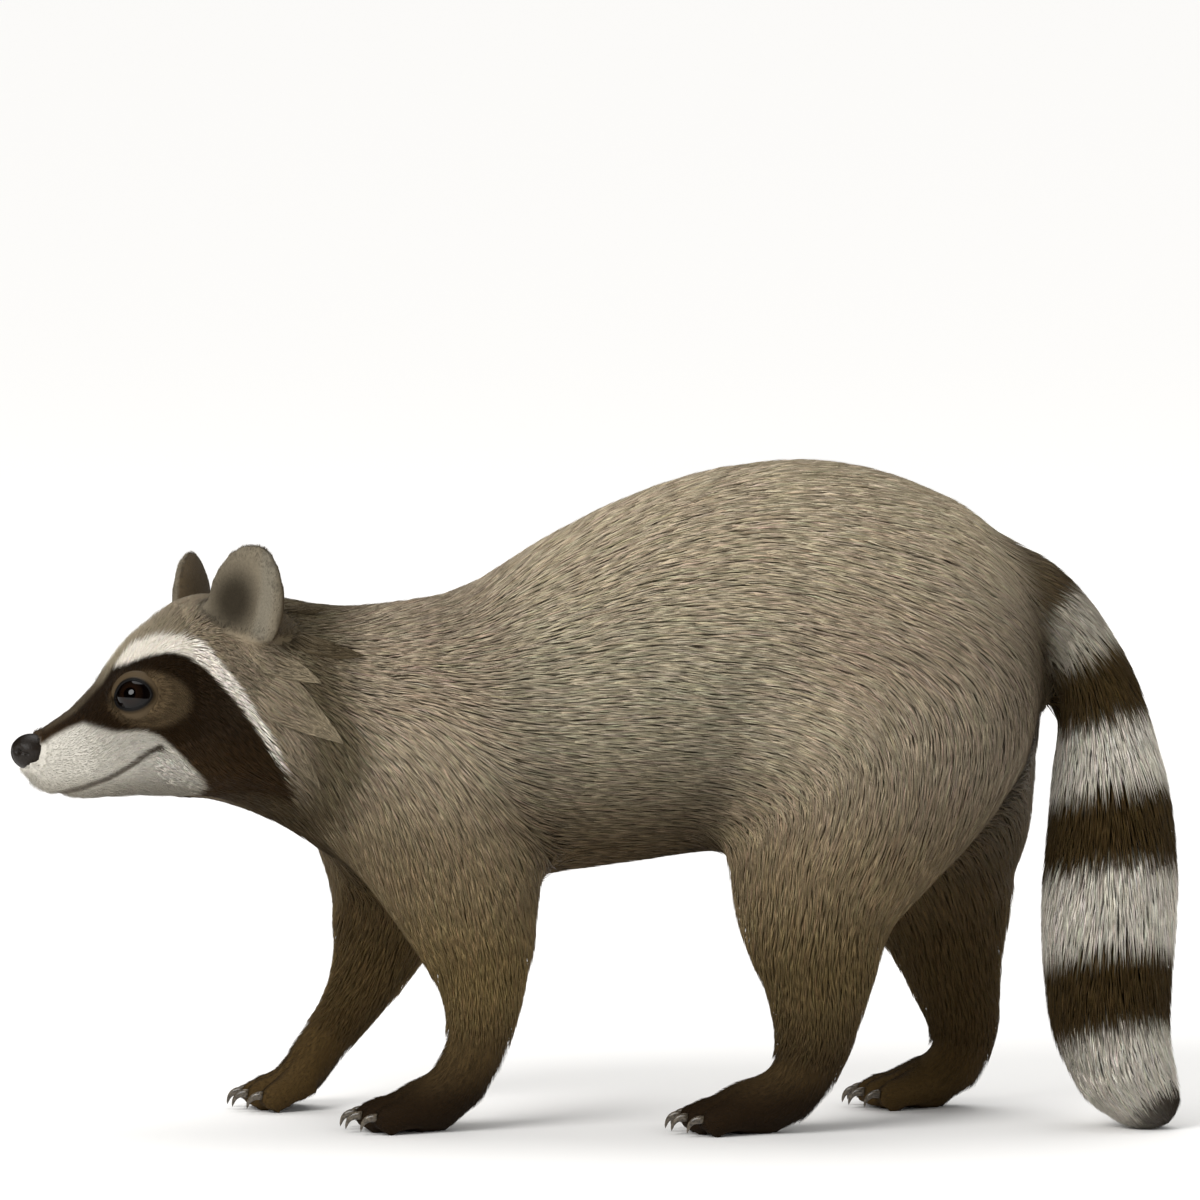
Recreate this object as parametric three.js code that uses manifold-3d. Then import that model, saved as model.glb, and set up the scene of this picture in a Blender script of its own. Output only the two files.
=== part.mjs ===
// A standing raccoon, life size, in millimetres, as its outline is at the tips of the coat.
// +Z is up, the head points along -X and its left side faces -Y. The origin is on the floor,
// under the middle of the animal.
//
// The body is drawn as round forms: lines of centres with a radius at each. They blend into one
// field, which is negative inside the animal. Closed meshes are then laid on its zero surface.

import * as THREE from "three";
import { mergeVertices } from "three/addons/utils/BufferGeometryUtils.js";
import Module from "manifold-3d";

const wasm = await Module();
wasm.setup();

const gap = 0.3; // between two solids that meet
const fold = 24; // how softly a limb runs into the trunk
const legTop = 116; // height of the level cut between the trunk and the lower legs
const halfCore = 34; // half thickness of the trunk between the two thighs or upper arms

// ---- Materials ----

const coat = (color) => new THREE.MeshStandardMaterial({ color, roughness: 0.9, metalness: 0 });
const backFur = coat("#8e8471");
const faceFur = coat("#8a7f6c");
const earFur = coat("#7a705e");
const legFur = coat("#4a3d2a");
const footFur = coat("#271c0c");
const paleFur = coat("#b9b2a5");
const tailFur = coat("#6b6352");
const nosePad = new THREE.MeshStandardMaterial({ color: "#1c1713", roughness: 0.45, metalness: 0 });
const eyeBall = new THREE.MeshStandardMaterial({ color: "#0d0907", roughness: 0.08, metalness: 0 });
const claw = new THREE.MeshStandardMaterial({ color: "#6e6455", roughness: 0.5, metalness: 0 });

// ---- Driving sizes: x along, z up, out from the middle plane, r in the side view, w half the width ----

const spine = {
  nape: { x: -166, z: 216, r: 53, w: 52 },
  neck: { x: -126, z: 203, r: 61, w: 59 },
  chest: { x: -82, z: 197, r: 77, w: 69 },
  ribs: { x: -38, z: 205, r: 78, w: 76 },
  waist: { x: 10, z: 223, r: 89, w: 86 },
  loin: { x: 62, z: 239, r: 98, w: 93 },
  croup: { x: 106, z: 242, r: 104, w: 95 },
  rump: { x: 138, z: 240, r: 98.5, w: 91 },
};

const leftForeleg = [
  { x: -84, out: 40, z: 176, r: 54, w: 36 }, // shoulder
  { x: -66, out: 52, z: 122, r: 40, w: 28 }, // elbow
  { x: -58, out: 53, z: 88, r: 26, w: 21 },
  { x: -58, out: 51, z: 57, r: 18.5, w: 17 },
  { x: -64, out: 49, z: 34, r: 16, w: 15.5 }, // wrist
  { x: -78, out: 48, z: 17, r: 16, w: 17 }, // palm
  { x: -92, out: 48, z: 12.7, r: 14, w: 19 }, // ball
];
const rightForeleg = [
  { x: -94, out: 40, z: 168, r: 55, w: 36 },
  { x: -103, out: 52, z: 122, r: 38, w: 28 },
  { x: -113, out: 53, z: 86, r: 25, w: 20 },
  { x: -124, out: 51, z: 60, r: 16.5, w: 16 },
  { x: -137, out: 49, z: 42, r: 14.5, w: 14.5 },
  { x: -147, out: 48, z: 29, r: 13.5, w: 16 },
  { x: -154, out: 48, z: 18, r: 12.5, w: 18.5 },
];
const leftHindLeg = [
  { x: 146, out: 40, z: 208, r: 77, w: 52 }, // hip
  { x: 131, out: 50, z: 165, r: 59, w: 44 }, // thigh
  { x: 113, out: 57, z: 126, r: 45, w: 33 }, // knee
  { x: 116, out: 58, z: 88, r: 32, w: 24 },
  { x: 115, out: 57, z: 64, r: 24, w: 20 },
  { x: 113, out: 56, z: 42, r: 19.5, w: 17.5 },
  { x: 101, out: 56, z: 21, r: 17.5, w: 17 }, // heel
  { x: 88, out: 56, z: 15, r: 15.5, w: 17 },
  { x: 76, out: 56, z: 13.1, r: 14.5, w: 19 }, // ball
];
const rightHindLeg = [
  { x: 150, out: 40, z: 208, r: 84, w: 52 },
  { x: 165, out: 50, z: 165, r: 68, w: 44 },
  { x: 180, out: 57, z: 122, r: 45, w: 33 },
  { x: 186, out: 58, z: 88, r: 30, w: 24 },
  { x: 192, out: 57, z: 60, r: 23, w: 20 },
  { x: 196, out: 56, z: 40, r: 17.5, w: 17 },
  { x: 187, out: 56, z: 19, r: 16.5, w: 16.5 },
  { x: 178, out: 56, z: 14, r: 14, w: 16.5 },
  { x: 170, out: 56, z: 12.7, r: 14, w: 19 },
];

const tailLine = [
  { x: 196, z: 290, r: 20 }, // root, inside the rump
  { x: 226, z: 279, r: 18.5 },
  { x: 249, z: 257, r: 17 },
  { x: 262, z: 224, r: 23 },
  { x: 267, side: 2, z: 188, r: 30 },
  { x: 269, side: 6, z: 151, r: 35.5 },
  { x: 268, side: 12, z: 114, r: 37 },
  { x: 267, side: 19, z: 78, r: 35 },
  { x: 269, side: 27, z: 46, r: 30 },
  { x: 277, side: 34, z: 26, r: 24.5 },
  { x: 287, side: 38, z: 15, r: 18 }, // tip
];

// The head lies along its own axis: a is the distance ahead of where it joins the neck, side is
// out to its own left, and z stays the height above the floor.
const headJoint = new THREE.Vector3(-165, 0, 214);
const headTurn = THREE.MathUtils.degToRad(20); // towards the animal's left
const headTilt = THREE.MathUtils.degToRad(6); // right side down
const skullSections = [
  { a: -25, top: 266, low: 164, w: 51 },
  { a: 10, top: 275, low: 167, w: 53 },
  { a: 42, top: 277, low: 170, w: 51 }, // crown
  { a: 62, top: 269, low: 171, w: 45 },
  { a: 72, top: 262, low: 171, w: 41 }, // forehead
  { a: 82, top: 253, low: 171, w: 35 },
  { a: 91, top: 242, low: 171, w: 29 }, // stop
  { a: 103, top: 227, low: 171, w: 22.5 },
  { a: 113, top: 218.5, low: 171.5, w: 19 },
  { a: 127, top: 209.5, low: 174.5, w: 16 }, // muzzle
  { a: 137, top: 205, low: 180, w: 12.5 },
  { a: 143, top: 200, low: 184, w: 8 },
];
const cheek = [
  { a: 6, side: 36, z: 200, r: 32, w: 25 }, // tip of the ruff
  { a: 32, side: 34, z: 200, r: 29, w: 26 },
  { a: 56, side: 22, z: 196, r: 23, w: 18 },
];
const nose = { a: 139.5, z: 197, long: 9.5, wide: 11, high: 10.5 };
const mouth = [
  { a: 150, z: 171 }, // front of the lip
  { a: 121, z: 174 },
  { a: 98, z: 182 },
  { a: 77, z: 196 }, // corner
];
const eye = { a: 82.6, side: 22.6, z: 222, r: 11.5 };
const ear = {
  a: 33,
  side: 41,
  z: 250, // foot of the ear
  height: 53,
  wide: 24, // half the width across the cup
  deep: 9, // half the depth of the cup
  wall: 3.4,
  lean: THREE.MathUtils.degToRad(9), // backwards
  spread: THREE.MathUtils.degToRad(17), // outwards
  face: THREE.MathUtils.degToRad(34), // the cup looks this far outwards
};

// ---- The field ----

const smoothMin = (a, b, soft) => {
  const near = Math.max(soft - Math.abs(a - b), 0) / soft;
  return Math.min(a, b) - (near * near * soft) / 4;
};

const between = (from, to, share) => from + (to - from) * share;

const rise = (value, low, high) => {
  const t = THREE.MathUtils.clamp((value - low) / (high - low), 0, 1);
  return t * t * (3 - 2 * t);
};

// A round form through stations of { at, r, w }. Its field is close to the distance from its skin.
function roundForm(stations, steps = 5) {
  const line = new THREE.CatmullRomCurve3(stations.map((s) => s.at));
  const sizes = new THREE.CatmullRomCurve3(stations.map((s) => new THREE.Vector3(s.r, s.w, 0)));
  const count = (stations.length - 1) * steps;
  const beads = [];
  for (let i = 0; i <= count; i++) {
    const size = sizes.getPoint(i / count);
    beads.push({ at: line.getPoint(i / count), r: size.x, flat: size.x / size.y });
  }
  return (p) => {
    let nearest = Infinity;
    for (let i = 0; i < count; i++) {
      const a = beads[i];
      const b = beads[i + 1];
      const abx = b.at.x - a.at.x;
      const aby = b.at.y - a.at.y;
      const abz = b.at.z - a.at.z;
      const along = (p.x - a.at.x) * abx + (p.y - a.at.y) * aby + (p.z - a.at.z) * abz;
      const t = THREE.MathUtils.clamp(along / (abx * abx + aby * aby + abz * abz), 0, 1);
      const flat = between(a.flat, b.flat, t);
      const x = p.x - a.at.x - abx * t;
      const y = (p.y - a.at.y - aby * t) * flat;
      const z = p.z - a.at.z - abz * t;
      nearest = Math.min(nearest, Math.hypot(x, y, z) - between(a.r, b.r, t));
    }
    return nearest;
  };
}

// A form with an oval section at each place a ahead of the neck, in the head's own axes.
function sectionForm(sections) {
  const points = sections.map((s) => new THREE.Vector3(s.top, s.low, s.w));
  const sizes = new THREE.CatmullRomCurve3(points);
  return (q) => {
    const a = -q.x;
    const last = sections.length - 1;
    let i = 0;
    while (i < last - 1 && sections[i + 1].a < a) i++;
    const share = THREE.MathUtils.clamp((a - sections[i].a) / (sections[i + 1].a - sections[i].a), 0, 1);
    const { x: top, y: low, z: w } = sizes.getPoint((i + share) / last);
    const high = (top - low) / 2;
    const out = Math.hypot((q.z + headJoint.z - (top + low) / 2) / high, q.y / w);
    return Math.max((out - 1) * Math.min(high, w), a - sections[last].a);
  };
}

const bodyStations = (line) =>
  Object.values(line).map(({ x, side = 0, z, r, w = r }) => ({ at: new THREE.Vector3(x, -side, z), r, w }));
const legStations = (leg, hand) =>
  leg.map(({ x, out, z, r, w }) => ({ at: new THREE.Vector3(x, hand * out, z), r, w }));
const headStations = (line, hand = 1) =>
  line.map(({ a, side = 0, z, r, w }) => ({
    at: new THREE.Vector3(-a, -hand * side, z - headJoint.z),
    r,
    w,
  }));

// The head's own axes: -X forward, -Y to its left, turned and tilted about the joint.
const headPose = new THREE.Matrix4()
  .makeTranslation(headJoint)
  .multiply(new THREE.Matrix4().makeRotationZ(headTurn))
  .multiply(new THREE.Matrix4().makeRotationX(-headTilt));
const toHead = headPose.clone().invert();
const headPoint = (a, side, z) =>
  new THREE.Vector3(-a, -side, z - headJoint.z).applyMatrix4(headPose);

const left = -1; // the hand of the left side: its sign along Y
const right = 1;
const legs = {
  left_fore: { stations: legStations(leftForeleg, left), hand: left },
  right_fore: { stations: legStations(rightForeleg, right), hand: right },
  left_hind: { stations: legStations(leftHindLeg, left), hand: left },
  right_hind: { stations: legStations(rightHindLeg, right), hand: right },
};

const torsoForm = roundForm(bodyStations(spine));
const legForms = Object.values(legs).map((leg) => roundForm(leg.stations));
const skullForm = sectionForm(skullSections);
const cheekForms = [1, -1].map((hand) => roundForm(headStations(cheek, hand)));
const tailForm = roundForm(bodyStations(tailLine));

const headField = (p) => {
  const q = p.clone().applyMatrix4(toHead);
  return cheekForms.reduce((field, form) => smoothMin(field, form(q), 14), skullForm(q));
};
const trunkField = (p) =>
  legForms.reduce((field, form) => smoothMin(field, form(p), fold), torsoForm(p));
const bodyField = (p) =>
  p.x > headJoint.x + 60 ? trunkField(p) : smoothMin(trunkField(p), headField(p), 14);

// ---- Meshes laid on the field ----

function solid(geometry) {
  const bare = new THREE.BufferGeometry();
  bare.setAttribute("position", geometry.getAttribute("position").clone());
  bare.setIndex(geometry.index);
  const merged = mergeVertices(bare, 1e-4);
  const mesh = new wasm.Mesh({
    numProp: 3,
    vertProperties: merged.attributes.position.array,
    triVerts: new Uint32Array(merged.index.array),
  });
  return new wasm.Manifold(mesh);
}

function geometryOf(manifold) {
  const { numProp, vertProperties, triVerts } = manifold.getMesh();
  const points = new Float32Array((vertProperties.length / numProp) * 3);
  for (let i = 0; i < points.length / 3; i++) {
    points.set(vertProperties.subarray(i * numProp, i * numProp + 3), i * 3);
  }
  const geometry = new THREE.BufferGeometry();
  geometry.setAttribute("position", new THREE.BufferAttribute(points, 3));
  geometry.setIndex(new THREE.BufferAttribute(triVerts, 1));
  geometry.computeVertexNormals();
  return geometry;
}

function closedGeometry(points, faces) {
  const geometry = new THREE.BufferGeometry();
  const flat = points.flatMap((p) => [p.x, p.y, p.z]);
  geometry.setAttribute("position", new THREE.Float32BufferAttribute(flat, 3));
  geometry.setIndex(faces);
  return geometry;
}

// How far a ray from inside runs before it leaves the field.
function reachOf(field, from, direction, most) {
  const step = 2.5;
  const p = new THREE.Vector3();
  const value = (t) => field(p.copy(direction).multiplyScalar(t).add(from));
  let inside = 0;
  let outside = step;
  while (outside < most && value(outside) < 0) {
    inside = outside;
    outside += step;
  }
  for (let i = 0; i < 10; i++) {
    const middle = (inside + outside) / 2;
    if (value(middle) < 0) inside = middle;
    else outside = middle;
  }
  return Math.min(inside, most);
}

// Rings laid round a line of stations { at, axis }, each flat and square to its axis, and turned
// by a share of one side. An end is flat, or closes in a round cap of fanned rings.
function wrap({ stations, field, sides, turn = 0, roundEnd = false, most = 90, fans = 1 }) {
  const rings = [];
  const sideways = (axis) => {
    const y = new THREE.Vector3(0, 1, 0);
    return y.addScaledVector(axis, -y.dot(axis)).normalize();
  };
  const ring = (at, axis, tilt) => {
    const across = sideways(axis);
    const up = new THREE.Vector3().crossVectors(axis, across);
    const points = [];
    for (let j = 0; j < sides; j++) {
      const angle = (2 * Math.PI * (j + turn)) / sides;
      const direction = across.clone().multiplyScalar(Math.cos(angle) * Math.cos(tilt));
      direction.addScaledVector(up, Math.sin(angle) * Math.cos(tilt));
      direction.addScaledVector(axis, Math.sin(tilt));
      points.push(direction.clone().multiplyScalar(reachOf(field, at, direction, most)).add(at));
    }
    rings.push(points);
  };
  const first = stations[0];
  const last = stations.at(-1);
  for (const { at, axis } of stations) ring(at, axis, 0);
  if (roundEnd) for (let k = 1; k <= fans; k++) ring(last.at, last.axis, (Math.PI * k) / (2 * (fans + 1)));
  const tip = last.at.clone();
  if (roundEnd) tip.addScaledVector(last.axis, reachOf(field, last.at, last.axis, most));
  const points = [first.at, ...rings.flat(), tip];
  const end = points.length - 1;
  const faces = [];
  for (let j = 0; j < sides; j++) {
    const next = (j + 1) % sides;
    faces.push(0, 1 + next, 1 + j);
    for (let i = 0; i < rings.length - 1; i++) {
      const low = 1 + i * sides;
      const high = low + sides;
      faces.push(low + j, low + next, high + j, low + next, high + next, high + j);
    }
    faces.push(end, end - sides + j, end - sides + next);
  }
  return solid(closedGeometry(points, faces));
}

// Stations along a line, evenly spread, with their axes along it. The end axes can be given.
function stationsAlong(points, count, { startAxis, endAxis } = {}) {
  const curve = new THREE.CatmullRomCurve3(points);
  return Array.from({ length: count }, (_, i) => {
    const share = i / (count - 1);
    const axis = curve.getTangentAt(share);
    if (startAxis) axis.lerp(startAxis, 1 - rise(share, 0, 0.5));
    if (endAxis) axis.lerp(endAxis, rise(share, 0.5, 1));
    return { at: curve.getPointAt(share), axis: axis.normalize() };
  });
}

// A closed mesh over the part of the field in a box, on a grid of cells, one point for each cell
// that the surface crosses.
function net(field, box, cell) {
  const size = box.getSize(new THREE.Vector3());
  const count = size.clone().divideScalar(cell).ceil();
  const corner = (i, j, k) => new THREE.Vector3(i, j, k).multiplyScalar(cell).add(box.min);
  const edge = (i, j, k) =>
    i <= 0 || j <= 0 || k <= 0 || i >= count.x || j >= count.y || k >= count.z;
  const values = new Map();
  const key = (i, j, k) => (i * 1000 + j) * 1000 + k;
  const value = (i, j, k) => {
    const name = key(i, j, k);
    if (!values.has(name)) values.set(name, edge(i, j, k) ? 1 : field(corner(i, j, k)));
    return values.get(name);
  };
  const steps = [0, 1, 2].map((n) => [+(n === 0), +(n === 1), +(n === 2)]);
  const corners = Array.from({ length: 8 }, (_, n) => [n & 1, (n >> 1) & 1, n >> 2]);
  const points = [];
  const pointOf = new Map();
  const cellPoint = (i, j, k) => {
    const name = key(i, j, k);
    if (pointOf.has(name)) return pointOf.get(name);
    const middle = new THREE.Vector3();
    let crossings = 0;
    for (const [a, b, c] of corners) {
      for (const [x, y, z] of steps) {
        if (a + x > 1 || b + y > 1 || c + z > 1) continue;
        const from = value(i + a, j + b, k + c);
        const to = value(i + a + x, j + b + y, k + c + z);
        if (from < 0 === to < 0) continue;
        const start = corner(i + a, j + b, k + c);
        middle.add(start.lerp(corner(i + a + x, j + b + y, k + c + z), from / (from - to)));
        crossings++;
      }
    }
    pointOf.set(name, points.push(middle.divideScalar(crossings)) - 1);
    return points.length - 1;
  };
  const faces = [];
  for (let i = 0; i < count.x; i++) {
    for (let j = 0; j < count.y; j++) {
      for (let k = 0; k < count.z; k++) {
        const here = value(i, j, k) < 0;
        steps.forEach(([x, y, z], n) => {
          if (here === value(i + x, j + y, k + z) < 0) return;
          const [u, v] = [steps[(n + 1) % 3], steps[(n + 2) % 3]];
          const quad = [[0, 0], [1, 0], [1, 1], [0, 1]].map(([a, b]) =>
            cellPoint(
              i - a * u[0] - b * v[0],
              j - a * u[1] - b * v[1],
              k - a * u[2] - b * v[2],
            ),
          );
          if (!here) quad.reverse();
          faces.push(quad[0], quad[1], quad[2], quad[0], quad[2], quad[3]);
        });
      }
    }
  }
  const near = box.clone().expandByScalar(-1.5 * cell);
  for (const p of points) if (near.containsPoint(p)) settle(p, field);
  return solid(closedGeometry(points, faces));
}

// Moves a point onto the zero surface.
function settle(p, field) {
  const h = 0.5;
  for (let n = 0; n < 3; n++) {
    const here = field(p);
    const slope = new THREE.Vector3(
      field(p.clone().setX(p.x + h)) - here,
      field(p.clone().setY(p.y + h)) - here,
      field(p.clone().setZ(p.z + h)) - here,
    ).divideScalar(h);
    p.addScaledVector(slope, THREE.MathUtils.clamp(-here / Math.max(slope.lengthSq(), 0.4), -5, 5));
  }
}

const pieces = new Map(); // node name to { made, material }
const put = (name, made, material) => pieces.set(name, { made, material });

function biggest(manifold) {
  const bodies = manifold.decompose();
  return bodies.sort((a, b) => b.volume() - a.volume())[0];
}

// ---- Cutters ----

// A big block whose one face passes through a point, square to its normal, and that lies ahead.
function blockAhead(at, normal, size = 700) {
  const block = new THREE.BoxGeometry(size, size, size);
  const turn = new THREE.Quaternion().setFromUnitVectors(new THREE.Vector3(0, 0, 1), normal);
  block.translate(0, 0, size / 2).applyQuaternion(turn).translate(at.x, at.y, at.z);
  return solid(block);
}

// An oval block out from the trunk's core, round the root of a limb.
function limbBlock({ x, z, long, high }, hand, grow = 0) {
  const depth = 120 + grow;
  const block = new THREE.CylinderGeometry(1, 1, depth, 28);
  block.scale(long + grow, 1, high + grow);
  block.translate(x, hand * (halfCore - grow + depth / 2), z);
  return solid(block);
}

const floor = blockAhead(new THREE.Vector3(0, 0, 0), new THREE.Vector3(0, 0, -1));

// ---- Tail, in three lengths ----

const tailNames = ["tail_base", "tail_middle", "tail_end"];
const clearOf = ({ at, axis }) => at.clone().addScaledVector(axis, gap);

function tailLength(name, grow = 0) {
  const all = stationsAlong(bodyStations(tailLine).map((s) => s.at), 19);
  const share = (all.length - 1) / tailNames.length;
  const n = tailNames.indexOf(name);
  const stations = all.slice(n * share, (n + 1) * share + 1);
  const { at, axis } = stations[0];
  stations[0] = { axis, at: at.clone().addScaledVector(axis, n ? gap : -grow) };
  const isLast = n === tailNames.length - 1;
  const made = wrap({ stations, field: (p) => tailForm(p) - grow, sides: 14, roundEnd: isLast, most: 60 });
  return isLast ? biggest(made.subtract(floor)) : made;
}

// ---- Trunk, thighs and upper arms ----

const down = new THREE.Vector3(0, 0, -1);
const neckCut = { at: new THREE.Vector3(-112, 0, 200), axis: new THREE.Vector3(-1, 0, 0.1).normalize() };
const headCut = {
  at: headPoint(6, 0, 212),
  axis: new THREE.Vector3(-1, 0, 0).transformDirection(headPose),
};
const limbRoots = {
  left_upper_arm: { x: -74, z: 168, long: 52, high: 62, hand: left },
  right_upper_arm: { x: -82, z: 168, long: 56, high: 62, hand: right },
  left_thigh: { x: 140, z: 172, long: 84, high: 88, hand: left },
  right_thigh: { x: 150, z: 172, long: 84, high: 88, hand: right },
};

function torsoWithLimbRoots() {
  const box = new THREE.Box3(new THREE.Vector3(-154, -136, 74), new THREE.Vector3(280, 136, 380));
  const whole = net(trunkField, box, 22);
  return whole
    .subtract(blockAhead(new THREE.Vector3(0, 0, legTop), down))
    .subtract(blockAhead(neckCut.at, neckCut.axis))
    .subtract(tailLength("tail_base", gap));
}

const torso = torsoWithLimbRoots();
let trunk = torso;
for (const [name, root] of Object.entries(limbRoots)) {
  put(name, biggest(torso.intersect(limbBlock(root, root.hand))), backFur);
  trunk = trunk.subtract(limbBlock(root, root.hand, gap));
}
put("trunk", biggest(trunk), backFur);
for (const name of tailNames) put(name, tailLength(name), tailFur);

// ---- Neck and head ----

const neck = wrap({
  stations: stationsAlong([clearOf(neckCut), headCut.at], 5, {
    startAxis: neckCut.axis,
    endAxis: headCut.axis,
  }),
  field: bodyField,
  sides: 26,
  most: 130,
}).subtract(blockAhead(new THREE.Vector3(0, 0, legTop), down));
put("neck", biggest(neck), backFur);

function wholeHead(grow = 0) {
  const line = [
    clearOf(headCut),
    headPoint(40, 0, 216),
    headPoint(70, 0, 209),
    headPoint(95, 0, 198),
    headPoint(118, 0, 191),
    headPoint(134, 0, 190),
  ];
  return wrap({
    stations: stationsAlong(line, 15, { startAxis: headCut.axis }),
    field: (p) => bodyField(p) - grow,
    sides: 22,
    roundEnd: true,
    fans: 1,
  });
}

function ball(long, wide, high, around = 12, rings = 6) {
  return new THREE.SphereGeometry(1, around, rings).scale(long, wide, high);
}

const inHead = (geometry, a, side, z) =>
  solid(geometry.translate(-a, -side, z - headJoint.z).applyMatrix4(headPose));

const noseAt = (grow) =>
  inHead(ball(nose.long + grow, nose.wide + grow, nose.high + grow), nose.a, 0, nose.z);
const eyeAt = (hand, grow) =>
  inHead(ball(eye.r + grow, eye.r + grow, eye.r + grow), eye.a, hand * eye.side, eye.z);

// The lower jaw: all that lies under the line of the mouth, as far back as its corner.
function jawBlock(grow) {
  const line = new THREE.SplineCurve(mouth.map(({ a, z }) => new THREE.Vector2(-a, z + grow)));
  const outline = new THREE.Shape(line.getPoints(8));
  const corner = mouth.at(-1);
  outline.lineTo(-corner.a + 14 + grow, corner.z - 12);
  outline.lineTo(-corner.a + 18 + grow, 120);
  outline.lineTo(-mouth[0].a, 120);
  const width = 120;
  const block = new THREE.ExtrudeGeometry(outline, { depth: width, bevelEnabled: false });
  block.translate(0, -headJoint.z, -width / 2).rotateX(Math.PI / 2);
  return solid(block.applyMatrix4(headPose));
}

let head = wholeHead().subtract(noseAt(gap));
for (const hand of [1, -1]) head = head.subtract(eyeAt(hand, gap));
put("lower_jaw", biggest(head.intersect(jawBlock(0))), paleFur);
head = biggest(head.subtract(jawBlock(gap)));
put("head", head, faceFur);
put("nose", noseAt(0), nosePad);
put("left_eye", eyeAt(1, 0), eyeBall);
put("right_eye", eyeAt(-1, 0), eyeBall);

// ---- Ears: a cup with a rounded tip ----

function earShell(hand) {
  const { height, wide, deep, wall } = ear;
  const leaf = (shrink) => {
    const half = height / 2 + 8;
    const shape = ball(deep - shrink, wide - shrink, half - shrink, 10, 8);
    const at = shape.getAttribute("position");
    for (let i = 0; i < at.count; i++) {
      const up = at.getZ(i) / half;
      at.setY(i, at.getY(i) * (1 - 0.12 * Math.max(up, 0) ** 2)); // narrower to the tip
    }
    return shape.translate(0, 0, half - 16);
  };
  const place = (shape) =>
    shape
      .rotateZ(hand * ear.face)
      .rotateY(ear.lean)
      .rotateX(hand * ear.spread);
  const outer = inHead(place(leaf(0)), ear.a, hand * ear.side, ear.z);
  const hollow = inHead(place(leaf(wall).translate(-deep * 0.75, 0, 0)), ear.a, hand * ear.side, ear.z);
  const shell = outer.subtract(hollow);
  return biggest(shell.subtract(wholeHead(1.4 * gap)));
}

put("left_ear", earShell(1), earFur);
put("right_ear", earShell(-1), earFur);

// ---- Lower legs and feet ----

const along = (stations, from, to) => stations.slice(from, to + 1).map((s) => s.at.clone());

// A toe runs from the ball of the foot to its pad on the ground. It is deeper than it is wide.
const toeWidth = { fore: 5.3, hind: 5.5 };
const toeDepth = [10.5, 10.2, 9];
const toes = [
  { spread: -17, start: 6, reach: 20 },
  { spread: -8.5, start: 2, reach: 24 },
  { spread: 0, start: 0, reach: 25 },
  { spread: 8.5, start: 2, reach: 24 },
  { spread: 17, start: 6, reach: 20 },
];
const clawLine = [
  { ahead: 0, lift: 1, r: 2 },
  { ahead: 2.6, lift: -1, r: 1.6 },
  { ahead: 4.6, lift: -6, r: 0.6 },
];

function toeLine(ball, { spread, start, reach }) {
  const fan = 1.26; // the tips stand further apart than the knuckles
  const at = (share, z) =>
    new THREE.Vector3(
      ball.x + start - reach * share,
      ball.y + spread * between(0.72, fan, share),
      z,
    );
  return [at(0, ball.z), at(0.55, between(ball.z, toeDepth[1], 0.7)), at(1, toeDepth[2] - 0.8)];
}

function tube(stations, sides, fans) {
  return wrap({
    stations: stationsAlong(stations.map((s) => s.at), stations.length),
    field: roundForm(stations, 3),
    sides,
    turn: 0.5,
    roundEnd: true,
    fans,
    most: 30,
  });
}

function foot(name, kind, stations, ankle) {
  const ball = stations.at(-1).at;
  const line = along(stations, ankle, stations.length - 1);
  const start = line[0].clone().addScaledVector(down, gap);
  const base = wrap({
    stations: stationsAlong([start, ...line.slice(1)], kind === "fore" ? 4 : 5, { startAxis: down }),
    field: bodyField,
    sides: 10,
    roundEnd: true,
    fans: 1,
    most: 40,
  });
  let made = base;
  for (const toe of toes) {
    const depths = toeLine(ball, toe).map((at, i) => ({ at, r: toeDepth[i], w: toeWidth[kind] }));
    made = made.add(tube(depths, 6, 1));
  }
  put(name + "_foot", biggest(made.subtract(floor)), footFur);
  toes.forEach((toe, n) => {
    const tip = toeLine(ball, toe).at(-1);
    const forward = new THREE.Vector3(-1, Math.sign(toe.spread) * 0.12, 0).normalize();
    const nail = clawLine.map(({ ahead, lift, r }) => ({
      at: tip.clone().addScaledVector(forward, toeDepth[2] + gap + ahead).setZ(tip.z + lift),
      r,
      w: r,
    }));
    put(name + "_claw_" + (n + 1), tube(nail, 4, 0), claw);
  });
}

function lowerLeg(name, stations, knee, ankle) {
  const line = along(stations, knee, ankle);
  const share = (line[0].z - legTop + gap) / (line[0].z - line[1].z);
  const start = line[0].clone().lerp(line[1], share);
  const made = wrap({
    stations: stationsAlong([start, ...line.slice(1)], 6, { startAxis: down, endAxis: down }),
    field: bodyField,
    sides: 14,
    most: 60,
  });
  put(name, made, legFur);
}

const wrist = 4;
const hock = 5;
lowerLeg("left_forearm", legs.left_fore.stations, 1, wrist);
lowerLeg("right_forearm", legs.right_fore.stations, 1, wrist);
lowerLeg("left_shank", legs.left_hind.stations, 2, hock);
lowerLeg("right_shank", legs.right_hind.stations, 2, hock);
foot("left_fore", "fore", legs.left_fore.stations, wrist);
foot("right_fore", "fore", legs.right_fore.stations, wrist);
foot("left_hind", "hind", legs.left_hind.stations, hock);
foot("right_hind", "hind", legs.right_hind.stations, hock);

// ---- The group ----

const raccoon = new THREE.Group();
for (const [name, { made, material }] of pieces) {
  const mesh = new THREE.Mesh(geometryOf(made), material);
  mesh.name = name;
  raccoon.add(mesh);
}

export default raccoon;
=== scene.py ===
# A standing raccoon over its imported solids: one skin, a coat of tufts, eyes, nose pad and claws.
# Places are in millimetres in the frame of the solids: head towards -X, left side towards -Y, Z up.
import math

import bmesh
import bpy
import numpy as np
from mathutils import Matrix, Vector
from mathutils.bvhtree import BVHTree
from mathutils.kdtree import KDTree


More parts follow.
